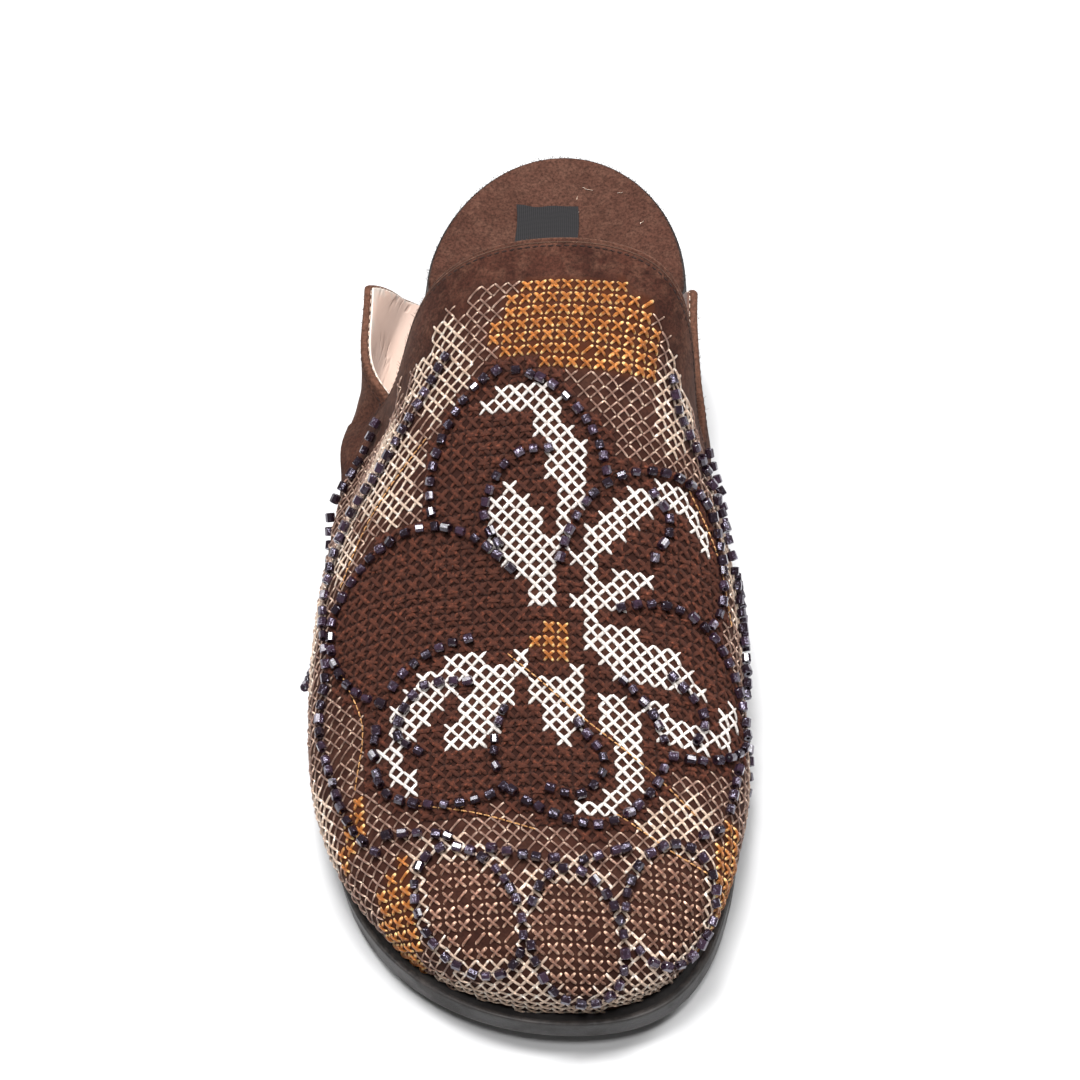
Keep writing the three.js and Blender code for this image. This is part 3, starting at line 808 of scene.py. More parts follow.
def rubber_with_wear_and_sheen():
    """Black rubber with cloudy patches and dust, greyer where marked: scuffs and a painted highlight."""
    material, board, shader, where = finish("sole_rubber", 0.6, specular=0.4)
    cloud = board.spread(board.noise(where, 70, 5, 0.62), 0.38, 0.7)
    dust = board.spread(board.noise(where, 900, 3, 0.7), 0.45, 0.75)
    dark = board.blend(cloud, tone(48, 45, 46), tone(66, 62, 61))
    dark = board.blend(board.times(dust, 0.3), dark, tone(82, 78, 76))
    scuffs = board.spread(board.noise(where, 300, 5, 0.75), 0.36, 0.64, 0.1, 1.0)
    # The mark greys the rubber in scuffs: wear, and a painted highlight along the lip's top and the foot's
    # edge.
    wear_and_sheen = board.times(board.painted("wear_and_sheen"), scuffs)
    board.link(board.blend(wear_and_sheen, dark, tone(108, 100, 96)), shader["Base Color"])
    board.link(board.spread(cloud, 0, 1, 0.5, 0.75), shader["Roughness"])
    pitted = board.times(board.noise(where, 200, 3), 1.5)
    bump(board, shader, board.plus(board.noise(where, 1500, 3, 0.7), pitted), 0.0002, 0.5)
    return material


def bead_glass():
    """Dark plum glass under a clear gloss."""
    material, board, shader, where = finish("bead_glass", 0.2, coat=0.9, specular=0.6)
    shader["Coat Roughness"].default_value = 0.06
    shader["Coat Tint"].default_value = (0.93, 0.9, 1.0, 1)
    shader["Specular Tint"].default_value = (0.88, 0.84, 1.0, 1)
    bump(board, shader, board.noise(where, 800, 2), 0.0008, 0.5)
    mixed = board.spread(board.noise(where, 900, 2), 0.42, 0.6)
    own = board.spread(board.painted("tint"), 0.2, 0.9)
    tint = board.blend(own, tone(40, 25, 34), tone(82, 59, 76))
    tint = board.blend(board.times(mixed, 0.6), tint, tone(44, 28, 36))
    board.link(tint, shader["Base Color"])
    return material


WEFT, WARP = 15000.0, 12000.0


def woven_label():
    """Plain black weave, about half a millimetre from thread to thread."""
    material, board, shader, where = finish("woven_black", 0.85, 0.15, specular=0.2)
    split = board.add("SeparateXYZ", {"Vector": where}).outputs
    rib = board.math("SINE", board.times(split[1], WEFT))
    warp = board.math("SINE", board.times(split[0], WARP))
    weave = board.spread(board.plus(rib, warp), -1.5, 1.5)
    board.link(board.blend(weave, tone(38, 37, 39), tone(66, 64, 66)), shader["Base Color"])
    bump(board, shader, weave, 0.0001, 0.6)
    return material


SUEDE = suede("suede_brown", tone(66, 35, 27), tone(94, 55, 43), tone(128, 88, 71), True)
BED_SUEDE = suede("suede_bed", tone(89, 55, 44), tone(103, 66, 54), tone(126, 89, 74), False)
LINING = leather_lining()
RUBBER = rubber_with_wear_and_sheen()
BEAD = bead_glass()
LABEL = woven_label()
# Each yarn: its colour, a darker colour for painted shade in the ply grooves and for uneven tone, and the
# colour of the painted highlight at its ends.
YARN_COLORS = {
    "white": ((360, 350, 341), (344, 326, 314), None),
    "tan": ((240, 192, 170), (122, 82, 68), (330, 292, 262)),
    "cream": ((344, 308, 278), (232, 188, 158), (364, 352, 336)),
    "bud": ((226, 170, 144), (120, 74, 58), (352, 298, 258)),
    "ochre": ((286, 184, 96), (174, 88, 34), (376, 318, 222)),
    "dark": ((164, 88, 60), (102, 50, 34), None),
    "seam": ((84, 50, 40), (58, 33, 26), None),
    "fold": ((150, 108, 88), (118, 78, 61), None),
    "gold": ((334, 256, 172), (206, 132, 72), None),
}
# A positive end shading paints shade on a thread's ends, a negative one a highlight.
YARN_FINISH = {
    "white": dict(roughness=0.6, end_shading=0.0),
    "tan": dict(roughness=0.35, end_shading=-0.5),
    "cream": dict(roughness=0.4, end_shading=-0.2),
    "bud": dict(roughness=0.35, end_shading=-0.5),
    "ochre": dict(roughness=0.3, end_shading=-0.6),
    "dark": dict(roughness=0.85, sheen=0.1, turns=700.0, depth=0.0002, end_shading=0.5),
    "seam": dict(roughness=0.8),
    "fold": dict(roughness=0.9),
    "gold": dict(roughness=0.25, sheen=0.0, end_shading=-0.6),
}
YARNS = {
    name: yarn("yarn_" + name, tone(*color), tone(*shade), tip=tip and tone(*tip), **YARN_FINISH[name])
    for name, (color, shade, tip) in YARN_COLORS.items()
}

# ---- the layers of the upper's wall --------------------------------------------------------

# The roll of the free edge starts this high above the sole, and has this many rings.
ROLL_FROM, ROLL_RINGS = 2.5, 5


def skin_mesh():
    bm = bmesh.new()
    for side, grid in skin_patches():
        add_grid(bm, grid, flip=side > 0)
    bmesh.ops.remove_doubles(bm, verts=bm.verts, dist=MERGE)
    bmesh.ops.dissolve_degenerate(bm, edges=bm.edges, dist=SLIVER)
    bm.verts.index_update()
    bm.normal_update()
    return bm


def kinds(geometry, kind):
    return [g for g in geometry if isinstance(g, kind)]


def layer(depth, thickness, mark):
    """One layer of the upper's wall: from a depth under the skin, with a rolled topline edge.

    The roll is painted with the mark.
    """
    bm = skin_mesh()
    paint = bm.verts.layers.float.new(mark)
    outer_verts = list(bm.verts)
    rim_edges = [e for e in bm.edges if e.is_boundary]
    base = [v.co.copy() for v in outer_verts]
    normal = [v.normal.copy() for v in outer_verts]
    floor_z = [(float(sole["floor"](co.y / MM + LENGTH / 2)) + GAP) * MM for co in base]
    beyond = {}
    for e in rim_edges:
        out = e.calc_tangent(e.link_loops[0]) * -1
        for v in e.verts:
            beyond[v.index] = beyond.get(v.index, Vector()) + out

    def at(i, out, down):
        co = base[i] - normal[i] * (depth + down) * MM
        if out and i in beyond and base[i].z > floor_z[i] + ROLL_FROM * MM:
            co += beyond[i].normalized() * out * MM
        co.z = max(co.z, floor_z[i])
        return co

    owner = {v: v.index for e in rim_edges for v in e.verts}
    number = {v: v.index for v in outer_verts}
    inner = bmesh.ops.duplicate(bm, geom=list(bm.verts) + list(bm.edges) + list(bm.faces))
    inner_verts = kinds(inner["geom"], bmesh.types.BMVert)
    bmesh.ops.reverse_faces(bm, faces=kinds(inner["geom"], bmesh.types.BMFace))
    source = {inner["vert_map"][v]: i for v, i in number.items()}
    edges = rim_edges
    for k in range(1, ROLL_RINGS + 1):
        made = bmesh.ops.extrude_edge_only(bm, edges=edges)["geom"]
        fresh = kinds(made, bmesh.types.BMVert)
        edges = [e for e in kinds(made, bmesh.types.BMEdge) if all(v in fresh for v in e.verts)]
        fresh_owner = {}
        for v in fresh:
            near = [e.other_vert(v) for e in v.link_edges if e.other_vert(v) in owner]
            fresh_owner[v] = owner[near[0]]
        turn = math.pi * k / ROLL_RINGS
        for v, i in fresh_owner.items():
            v.co = at(i, thickness / 2 * math.sin(turn), thickness / 2 * (1 - math.cos(turn)))
            v[paint] = 1.0
        owner = fresh_owner
    for v in inner_verts:
        v.co = at(source[v], 0, thickness)
    for v in outer_verts:
        v.co = at(number[v], 0, 0)
    bmesh.ops.remove_doubles(bm, verts=bm.verts, dist=MERGE)
    bmesh.ops.recalc_face_normals(bm, faces=bm.faces)
    return bm


# Distances are measured to every fourth point of the edge, for so many points at a time.
edge_points = edge_line[::4]
CHUNK = 1000


def edge_distance(points):
    """How far points lie from the upper's free edge."""
    out = np.empty(len(points))
    for k in range(0, len(points), CHUNK):
        d = np.linalg.norm(points[k : k + CHUNK, None] - edge_points[None], axis=-1)
        out[k : k + CHUNK] = d.min(axis=1)
    return out


# ---- sole and footbed ----------------------------------------------------------------------

COVER_INSET, COVER_RISE, COVER_LIFT = 0.5, 0.55, 0.06
# The sole's depth is read this far to either side of a groove's wall, and the plain rows of its
# mesh keep this far from one, as a share of the outline.
CUT_STEP, ROW_APART = 0.05, 0.002


def sole_half(s):
    return last["half"](s) + sole["ledge"](s)


SOLE_OUTLINE = dict(tip=0, end=LENGTH, half=sole_half)


def behind(s):
    """How far a station lies behind the flaps, from 0 to 1."""
    return ease((s - WIDEN_S) / WIDEN_LENGTH)


def bed_half(s):
    in_upper = last["half"](s) - WALL - GAP - BED_EASE
    return mix(in_upper, sole_half(s) - LIP_WALL - GAP, behind(s))


def cover_half(s):
    return mix(bed_half(s), sole_half(s) - COVER_INSET, behind(s))


BED_OUTLINE = dict(tip=TOE_INSET + WALL + GAP + BED_EASE, end=LENGTH - LIP_WALL - GAP, half=bed_half)
# Behind the flaps the suede cover runs out over the lip, to just inside the sole's edge.
COVER_OUTLINE = dict(BED_OUTLINE, end=LENGTH - COVER_INSET, half=cover_half)


def within(outline, t, across, inset, height):
    """Points of a body at places t, across it from -1 to 1, at an inset from its outline."""
    s, share = place(t, outline["tip"] + inset, outline["end"] - inset)
    half = (outline["half"](s) - inset) * share
    return stacked(last["middle"](s) + across * half, s, height(s, share, across))


def loops(t, profile):
    """Loops round a body: the profile lists (outline, across, inset, height function)."""
    return np.stack([within(outline, t, *rest) for outline, *rest in profile], axis=1)


def closed_loops(points):
    """A closed body from loops of points, which shrink to an upright line at either end."""
    points = np.concatenate([points, points[:, :1]], axis=1)
    bm = bmesh.new()
    add_grid(bm, points)
    bmesh.ops.remove_doubles(bm, verts=bm.verts, dist=BODY_MERGE)
    bmesh.ops.dissolve_degenerate(bm, edges=bm.edges, dist=SLIVER)
    bmesh.ops.recalc_face_normals(bm, faces=bm.faces)
    return bm


def groove_depth(s):
    for start, count in TREADS:
        along = s - start
        if 0 < along < count * GROOVE_PITCH and along % GROOVE_PITCH < GROOVE_WIDTH:
            return GROOVE_DEPTH
    return 0.0


def quarter(steps):
    """Angles of a quarter turn."""
    return np.linspace(0, math.pi / 2, steps)


def sole_profile(deep):
    """The loop round the sole: up the inner side, over the floor, down the other and back below."""
    ground = lambda rise: lambda s, share, c: sole["ground"](s) + rise
    roof = lambda s, share, c: sole["ground"](s) + deep
    lip = lambda drop: lambda s, share, c: sole["lip"](s) - drop
    low = lambda s: sole["ground"](s) + SOLE_EDGE
    high = lambda s: sole["lip"](s) - LIP_EDGE
    wall = lambda part: lambda s, share, c: mix(low(s), high(s), part)
    floor = lambda s, share, c: sole["floor"](s)

    def side(way):
        groove = way * GROOVE_SHARE
        rows = [(groove, SOLE_EDGE, roof), (groove, SOLE_EDGE, ground(0)), (way * 0.9, SOLE_EDGE, ground(0))]
        for turn in quarter(6):
            inset = mix(LIP_SLANT, SOLE_EDGE, 1 - math.sin(turn))
            rows.append((way, inset, ground(SOLE_EDGE * (1 - math.cos(turn)))))
        rows += [(way, mix(LIP_SLANT, 0, part), wall(part)) for part in np.linspace(0, 1, 7)[1:]]
        for turn in quarter(5)[1:]:
            rows.append((way, LIP_EDGE * (1 - math.cos(turn)), lip(LIP_EDGE * (1 - math.sin(turn)))))
        rows.append((way, mix(LIP_EDGE, LIP_WALL, 0.6), lip(0.05)))
        rows.append((way, LIP_WALL, lip(LIP_EDGE / 3)))
        rows.append((way, LIP_WALL, floor))
        return rows

    middle = np.linspace(-0.75, 0.75, 7)
    above = [(-c, LIP_WALL, floor) for c in middle]
    below = [(c * GROOVE_SHARE, SOLE_EDGE, roof) for c in middle]
    return [(SOLE_OUTLINE, *row) for row in side(1) + above + side(-1)[::-1] + below]


def places_along(toe, waist, heel):
    """Places on an outline, with so many of them round the toe, down the waist and the heel."""
    waist_t = np.linspace(T_TOE, T_HEEL, waist)[1:]
    return np.concatenate([np.linspace(0, T_TOE, toe), waist_t, np.linspace(T_HEEL, 1, heel)[1:]])


grooves = [start + i * GROOVE_PITCH for start, count in TREADS for i in range(count)]
cut_s = np.array([start + width for start in grooves for width in (0, GROOVE_WIDTH)])
cut_t = place_at(cut_s, SOLE_EDGE, LENGTH - SOLE_EDGE)
plain_t = [t for t in places_along(56, 40, 44) if np.abs(cut_t - t).min() > ROW_APART]
rows = []
for t in np.sort(np.concatenate([plain_t, cut_t])):
    s = float(place(t, SOLE_EDGE, LENGTH - SOLE_EDGE)[0])
    for deep in dict.fromkeys([groove_depth(s - CUT_STEP), groove_depth(s + CUT_STEP)]):
        rows.append(loops(np.array([t]), sole_profile(deep))[0])
bm = closed_loops(np.array(rows))
# Marked greyer towards the toe: scuffs, more on the outer wall, and scuffs with a painted highlight along
# the lip's rounded top and the foot's edge.
wear_and_sheen = bm.verts.layers.float.new("wear_and_sheen")
RIM_SHEEN_WEAR, FOOT_SHEEN_WEAR, OUTER_WEAR, INNER_WEAR = 0.45, 0.9, 0.45, 0.1
RIM_REACH, FOOT_REACH = 0.7, 1.4
for v in bm.verts:
    x, y, z = v.co / MM
    s = y + LENGTH / 2
    rim = max(0.0, 1 - abs(z - float(sole["lip"](s))) / RIM_REACH)
    foot = max(0.0, 1 - abs(z - float(sole["ground"](s))) / FOOT_REACH)
    ahead = float(ease((190 - s) / 60))
    wear_and_sheen_sum = RIM_SHEEN_WEAR * rim + FOOT_SHEEN_WEAR * foot + (OUTER_WEAR if x < -20 else INNER_WEAR)
    v[wear_and_sheen] = ahead * min(1.0, wear_and_sheen_sum)
show("outsole_rubber", to_mesh(bm, "outsole_rubber"), RUBBER, ["outsole"], crease=50)


def bed_top(s):
    return sole["bed"](s) + COVER_RISE * behind(s)


def bed_z(s, share, c):
    return bed_top(s) - sole["dish"](s) * share * (1 - c * c) ** 1.5


def bed_base_z(s, share, c):
    return sole["floor"](s) + GAP


def bed_edge_z(part):
    low = lambda s: mix(sole["bed"](s) - BED_EDGE, sole["lip"](s) + COVER_LIFT, behind(s))
    return lambda s, share, c: mix(low(s), bed_top(s), part)


def bed_side(way):
    rows = [(BED_OUTLINE, way, 0, bed_base_z), (BED_OUTLINE, way, 0, bed_edge_z(0))]
    for turn in quarter(6):
        rows.append((COVER_OUTLINE, way, BED_EDGE * (1 - math.cos(turn)), bed_edge_z(math.sin(turn))))
    return rows


bed_base = [(BED_OUTLINE, c, 0, bed_base_z) for c in np.linspace(-0.8, 0.8, 7)]
bed_face = [(COVER_OUTLINE, c, BED_EDGE, bed_z) for c in np.linspace(0.97, -0.97, 41)]
bed_profile = bed_base + bed_side(1) + bed_face + bed_side(-1)[::-1]
bm = closed_loops(loops(places_along(50, 60, 60), bed_profile))
paled = bm.verts.layers.float.new("paled")
# Paler towards the middle of the heel.
for v in bm.verts:
    x, y, z = v.co / MM
    v[paled] = 0.3 * float(ease((y - 70) / 40)) * max(0.0, 1 - abs(x) / 34)
show("footbed_suede", to_mesh(bm, "footbed_suede"), BED_SUEDE, ["footbed"], crease=60)

# ---- label ---------------------------------------------------------------------------------


def bed_height(x, s):
    """Height of the footbed's suede over a point of the plan."""
    tip, end = COVER_OUTLINE["tip"], COVER_OUTLINE["end"]
    share = place(place_at(s, tip, end), tip, end)[1]
    c = np.clip((x - last["middle"](s)) / ((COVER_OUTLINE["half"](s) - BED_EDGE) * share), -1, 1)
    return bed_z(s, share, c)


LABEL_HALF, LABEL_X, LABEL_START, LABEL_END = 8.2, -2.2, 197, 241.5
LABEL_LIFT, LABEL_CURL, LABEL_THICK = 0.35, 0.12, 0.6
across, along = np.meshgrid(
    np.linspace(-LABEL_HALF, LABEL_HALF, 30), np.linspace(LABEL_START, LABEL_END, 60)
)
curl = LABEL_CURL * np.sin(across * 0.9 + 1.0) * ease((along - 234) / 6)
label_x = across + LABEL_X + 0.3 * np.sin(along * 0.3)
label_s = along + 0.25 * np.sin(across * 0.55)
bm = bmesh.new()
add_grid(bm, stacked(label_x, label_s, bed_height(across + LABEL_X, along) + (LABEL_LIFT + curl)))
bm.normal_update()
rim = bmesh.ops.extrude_edge_only(bm, edges=[e for e in bm.edges if e.is_boundary])["geom"]
for v in kinds(rim, bmesh.types.BMVert):
    v.co.z -= LABEL_THICK * MM
show("label", to_mesh(bm, "label"), LABEL, crease=40)

# ---- the needlework pattern ----------------------------------------------------------------

# Places on the net in mm: X across from the ridge, Y up from below the toe.
HEART = (3.0, 101.0)
# Petals, later ones on top: direction in degrees from the throat line, length, half width, the
# side of the pale band (0 for a plain petal) and the length of the pale flame.
PETALS = [
    (-14, 66, 21, 1, 0.62), (46, 56, 19, -1, 0.5), (-76, 58, 21, 0, 0.0), (104, 50, 18, 1, 0.72),
    (-130, 52, 19, 1, 0.7), (168, 45, 20, -1, 0.55),
]
# Ovals: middle, half width, half height and tilt.
BUDS = [(-20, 38, 9.5, 14, 0.5), (4, 31, 9.5, 13.5, 0.05), (27, 41, 9, 13.5, -0.5)]
OCHRE = [(-39, 36, 7, 19, -0.4), (48, 46, 7, 20, 0.15), (-47, 62, 3, 9, -0.6)]
PALE = [
    (36, 166, 8, 17, -0.4), (-31, 170, 10, 14, 0.5), (-44, 150, 9, 18, 0.6), (4, 13, 42, 13, 0),
    (-58, 68, 5, 13, 0.3), (-66, 118, 4, 16, 0.1), (-57, 138, 5, 12, 0.4), (64, 84, 8, 24, -0.1),
    (60, 130, 8, 22, 0.3), (28, 62, 12, 6, 0.2),
]
HEART_OCHRE, HEART_DARK, HEART_GROUND = 4.8, 8.2, 24
PANEL_FOOT, PANEL_X, PANEL_HALF, PANEL_SHOULDER = 166, 5, 21, 174
PETAL_RIM, BUD_RIM = 3, 1.36


def oval(x, y, cx, cy, rx, ry, tilt):
    """Less than 1 inside a tilted oval."""
    c, s = math.cos(tilt), math.sin(tilt)
    dx, dy = x - cx, y - cy
    return math.hypot((dx * c + dy * s) / rx, (-dx * s + dy * c) / ry)


def petal_width(along):
    """Share of a petal's half width at a share of the way out along it."""
    return max(0.0, math.sin(math.pi * min(1.0, max(0.0, along)) ** 1.25)) ** 0.62


def on_petal(x, y, way, length, half):
    """Share of the way out along a petal, and across it from -1 to 1."""
    turn = math.radians(way)
    dx, dy = x - HEART[0], y - HEART[1]
    along = (dx * math.sin(turn) + dy * math.cos(turn)) / length
    across = (dx * math.cos(turn) - dy * math.sin(turn)) / half
    wide = petal_width(along)
    return along, across / wide if wide > 0.05 else 9.0


def petal_color(along, across, lit, flame):
    """White for the band by one edge, its turn at the tip and the flame; dark for the rest."""
    off = across * lit
    band = 0.36 < off < 0.8 and 0.3 < along < 0.93
    turned = -0.45 < off < 0.5 and 0.84 < along < 0.93
    if lit and (band or turned):
        return "white"
    if flame and along < flame and abs(across + 0.12 * lit) < 0.62 * (1 - along / flame) ** 0.6:
        return "white"
    return "dark"


def in_panel(x, y):
    """The ochre panel under the throat."""
    above = y > PANEL_FOOT + 0.3 * max(0, -x)
    return above and abs(x - PANEL_X) < PANEL_HALF - 0.4 * max(0, y - PANEL_SHOULDER)


def stitch_color(x, y):
    from_heart = math.hypot(x - HEART[0], y - HEART[1])
    if from_heart < HEART_OCHRE:
        return "ochre"
    if from_heart < HEART_DARK:
        return "dark"
    for way, length, half, lit, flame in reversed(PETALS):
        along, across = on_petal(x, y, way, length, half)
        if 0 < along < 1 and abs(across) < 1:
            return petal_color(along, across, lit, flame)
    if from_heart < HEART_GROUND:
        return "dark"
    for way, length, half, lit, flame in PETALS:
        along, across = on_petal(x, y, way, length + PETAL_RIM, half + PETAL_RIM)
        if 0 < along < 1 and abs(across) < 1:
            return "dark"
    for bud in BUDS:
        inside = oval(x, y, *bud)
        if inside < BUD_RIM:
            return "bud" if inside < 1 else "cream"
    if in_panel(x, y) or any(oval(x, y, *patch) < 1 for patch in OCHRE):
        return "ochre"
    ragged = 1 + 0.16 * math.sin(x * 0.9 + y * 0.5)
    return "cream" if any(oval(x, y, *patch) < ragged for patch in PALE) else "tan"


# ---- stitches ------------------------------------------------------------------------------

cells = []
for i in range(net.shape[0] - 1):
    for j in range(net.shape[1] - 1):
        corner = net[[i, i + 1, i + 1, i], [j, j, j + 1, j + 1]]
        if not np.isnan(corner).any():
            cells.append((i, j, corner))
cell_corners = np.array([c[2] for c in cells])
cell_middle = cell_corners.mean(axis=1)
cell_edge = edge_distance(cell_middle)
feather = sole["floor"](cell_middle[:, 1] + LENGTH / 2) + GAP
knot_normals = all_on_skin(cell_corners)[1]

# Half width, half height, rise of the crossing, share of upper strands left out, unevenness, how
# far the ends stop short of the corners, how pointed the bow is and the thickness along the strand.
STYLE = {
    "white": (0.4, 0.27, 0.36, 0.0, 0.09, -0.02, 1.0, (0.85, 1, 1, 1, 0.85)),
    "cream": (0.34, 0.23, 0.34, 0.02, 0.13, -0.01, 1.0, (0.8, 1.05, 0.95, 1.05, 0.8)),
    "tan": (0.24, 0.19, 0.32, 0.12, 0.2, 0.04, 0.6, (0.75, 1.15, 0.85, 1.15, 0.75)),
    "bud": (0.35, 0.26, 0.36, 0.05, 0.14, 0.14, 0.5, (0.7, 1.25, 0.75, 1.25, 0.7)),
    "ochre": (0.4, 0.27, 0.42, 0.03, 0.12, 0.13, 0.6, (0.7, 1.15, 0.9, 1.15, 0.7)),
    "dark": (0.5, 0.34, 0.24, 0.0, 0.24, 0.02, 0.7, (0.8, 1.1, 1, 1.1, 0.8)),
}
# The suede border left free of stitches: at the sides, and narrower under the throat. On the
# outer side some crosses are left out of a strip beyond it. The flaps have none, nor the feather line.
BORDER, BORDER_TOP = 12.5, 9.4
STRIP, LEFT_OUT = 6, 0.3
FLAP_S, FLAP_TOP, LOWEST = 141, 60, 0.4
threads = {name: [] for name in STYLE}
stitched = []
for (i, j, corner), middle, edge_d, low, normal in zip(cells, cell_middle, cell_edge, feather, knot_normals):
    x, y = (i + 0.5 - HALF_COLUMNS) * PITCH, (j + 0.5) * PITCH
    if middle[2] < low + LOWEST:
        continue
    ragged = 1.2 * math.sin(i * 1.7) + 0.9 * math.sin(i * 0.63 + 2)
    border = mix(BORDER_TOP, BORDER + max(0, ragged), ease((abs(x - 4) - 18) / 24))
    if edge_d < border:
        continue
    if edge_d < border + STRIP and x < -22 and rng.random() < LEFT_OUT:
        continue
    if middle[1] + LENGTH / 2 > FLAP_S and middle[2] < FLAP_TOP:
        continue
    color = stitch_color(x, y)
    threads[color].append((corner, normal))
    stitched.append((middle, color))
ALONG = np.linspace(0, 1, 6)


def curve_lift(start, end, n0, n1):
    """How far the skin's curve rises above the straight line between two points of it."""
    way = end - start
    length = np.linalg.norm(way, axis=-1, keepdims=True)
    bend = np.sum((n1 - n0) * way, axis=-1, keepdims=True) / np.maximum(length, 1e-6)
    return np.clip(bend * length / 8, -0.2, 0.5)


def cross(items, high, top, missing, uneven, short, plump):
    """The two strands of each cross: the second passes over the first."""
    corners = np.array([item[0] for item in items])
    normals = np.array([item[1] for item in items])
    count = len(items)
    paths, ups = [], []
    for a, b, over in ((0, 2, 0.0), (1, 3, 1.0)):
        start = mix(corners[:, a], corners[:, b], short)[:, None]
        end = mix(corners[:, b], corners[:, a], short)[:, None]
        n0, n1 = normals[:, a][:, None], normals[:, b][:, None]
        share = ALONG[None, :, None]
        line = mix(start, end, share)
        up = unit(mix(n0, n1, share))
        bow = np.sin(share * math.pi) ** plump
        lift = high * 0.6 + bow * (top * (0.35 + 0.65 * over))
        lift = lift * (0.85 + 0.3 * rng.random((count, 1, 1))) - (1 - bow) * high * 0.7
        aside = (rng.random((count, 1, 1)) - 0.5) * 2 * uneven
        slant = (rng.random((count, 1, 1)) - 0.5) * uneven
        drift = unit(np.cross(end - start, up)) * (aside + slant * share)
        path = line + up * (lift + curve_lift(start, end, n0, n1) * 4 * share * (1 - share)) + drift
        kept = rng.random(count) > missing * over
        paths.append(path[kept])
        ups.append(np.broadcast_to(up, line.shape)[kept])
    return np.concatenate(paths), np.concatenate(ups)


def upright(items):
    """The same cells turned by half a quarter: from the middle of each side to the next."""
    turned = []
    for corner, normal in items:
        next_corner, next_normal = (np.roll(part, -1, axis=0) for part in (corner, normal))
        turned.append(((corner + next_corner) / 2, unit(normal + next_normal)))
    return turned


def sew(name, items, material, wide, high, top, missing, uneven, short, plump, shape):
    """One piece of crosses in one yarn. Its numbers are those of STYLE."""
    paths, ups = cross(items, high, top, missing, uneven, short, plump)
    thick = 1 + 0.4 * (rng.random(len(paths)) - 0.5)
    mesh = strands(name, paths, ups, wide * thick, high * (0.5 + thick / 2), 6, shape)
    show(name, mesh, material)


for name, style in STYLE.items():
    sew(f"stitches_{name}", threads[name], YARNS[name], *style)
# The dark wool is worked twice, which hides the single crosses.
UPRIGHT_SHARE = 0.7
UPRIGHT_STYLE = (0.42, 0.3, 0.5, 0.3, 0.5, 0.06, 0.6, (0.8, 1.15, 1.15, 0.8))
again = [item for item in upright(threads["dark"]) if rng.random() < UPRIGHT_SHARE]
sew("stitches_dark_upright", again, YARNS["dark"], *UPRIGHT_STYLE)

# ---- upper and lining ----------------------------------------------------------------------

SUEDE_WALL, LINING_WALL, LINING_OFF = 2.0, 0.58, 0.02
# How much painted shade each yarn lays on the ground under it, and how far off the painted
# shade and the warm tint of the ochre's ground reach.
GROUND_SHADE = {"dark": 1.0, "bud": 0.6, "ochre": 0.3, "white": 0.3, "cream": 0.55, "tan": 0.5}
REACH = (4.0, 2.6)
stitch_at = np.array([middle for middle, color in stitched])
stitch_shade_and_warmth = np.array([[GROUND_SHADE[color], float(color == "ochre")] for middle, color in stitched])


def shade_and_warmth_under_stitches(points):
    """Painted shade and the warm tint of the ground under the needlework, nothing away from it."""
    out = np.empty((len(points), 2))
    for k in range(0, len(points), CHUNK):
        d = np.linalg.norm(points[k : k + CHUNK, None] - stitch_at[None], axis=-1)
        for column, reach in enumerate(REACH):
            weight = np.maximum(0, 1 - d / reach) ** 2
            total = np.maximum(weight.sum(axis=1), 0.3)
            out[k : k + CHUNK, column] = (weight @ stitch_shade_and_warmth[:, column]) / total
    return out


bm = layer(0.0, SUEDE_WALL, "paled")
under, warm = (bm.verts.layers.float.new(mark) for mark in ("under", "warm"))
paled = bm.verts.layers.float["paled"]
co = np.array([v.co for v in bm.verts]) / MM
near_edge, covered = edge_distance(co), shade_and_warmth_under_stitches(co)
for v, p, d, (dark, ochre) in zip(bm.verts, co, near_edge, covered):
    # Paler on the flaps and near the free edge, besides the edge's roll.
    flap = ease((p[1] - 22) / 12) * ease((62 - p[2]) / 14)
    v[paled] = min(1.0, v[paled] * 0.8 + 0.3 * flap + 0.3 * max(0, 1 - d / 1.5))
    # The under mark is painted shade under the needlework; warm is the ochre ground's tint.
    v[under], v[warm] = min(1.0, dark), min(1.0, ochre)
show("upper_suede", to_mesh(bm, "upper_suede"), SUEDE, ["upper"])

bm = layer(SUEDE_WALL + LINING_OFF, LINING_WALL, "edge")
brown = bm.verts.layers.float.new("brown")
for v in bm.verts:
    v[brown] = float(ease((v.co.x / MM - 8) / 12))
show("lining", to_mesh(bm, "lining"), LINING)

# ---- beads ---------------------------------------------------------------------------------

PETAL_FOOT, BUD_GROW = 0.24, 1.12


def on_net(x, y):
    """The point of the skin at a place on the net, or None off it."""
    u, v = x / PITCH + HALF_COLUMNS, y / PITCH
    i, j = int(math.floor(u)), int(math.floor(v))
    if not (0 <= i < net.shape[0] - 1 and 0 <= j < net.shape[1] - 1):
        return None
    corner = net[[i, i + 1, i, i + 1], [j, j, j + 1, j + 1]]
    if np.isnan(corner).any():
        return None
    fu, fv = u - i, v - j
    return (corner[0] * (1 - fu) + corner[1] * fu) * (1 - fv) + (corner[2] * (1 - fu) + corner[3] * fu) * fv


def laid_line(places):
    """A line of places on the net, laid on the skin."""
    line = [p for p in (on_net(x, y) for x, y in places) if p is not None]
    return all_on_skin(np.array(line))[0] if len(line) > 3 else None


def oval_line(cx, cy, rx, ry, tilt, grow):
    """Round an oval that is grown a little."""
    c, s = math.cos(tilt), math.sin(tilt)
    line = []
    for angle in np.linspace(0, 2 * math.pi, 120):
        u, v = rx * math.cos(angle), ry * math.sin(angle)
        line.append((cx + grow * (u * c - v * s), cy + grow * (u * s + v * c)))
    return line


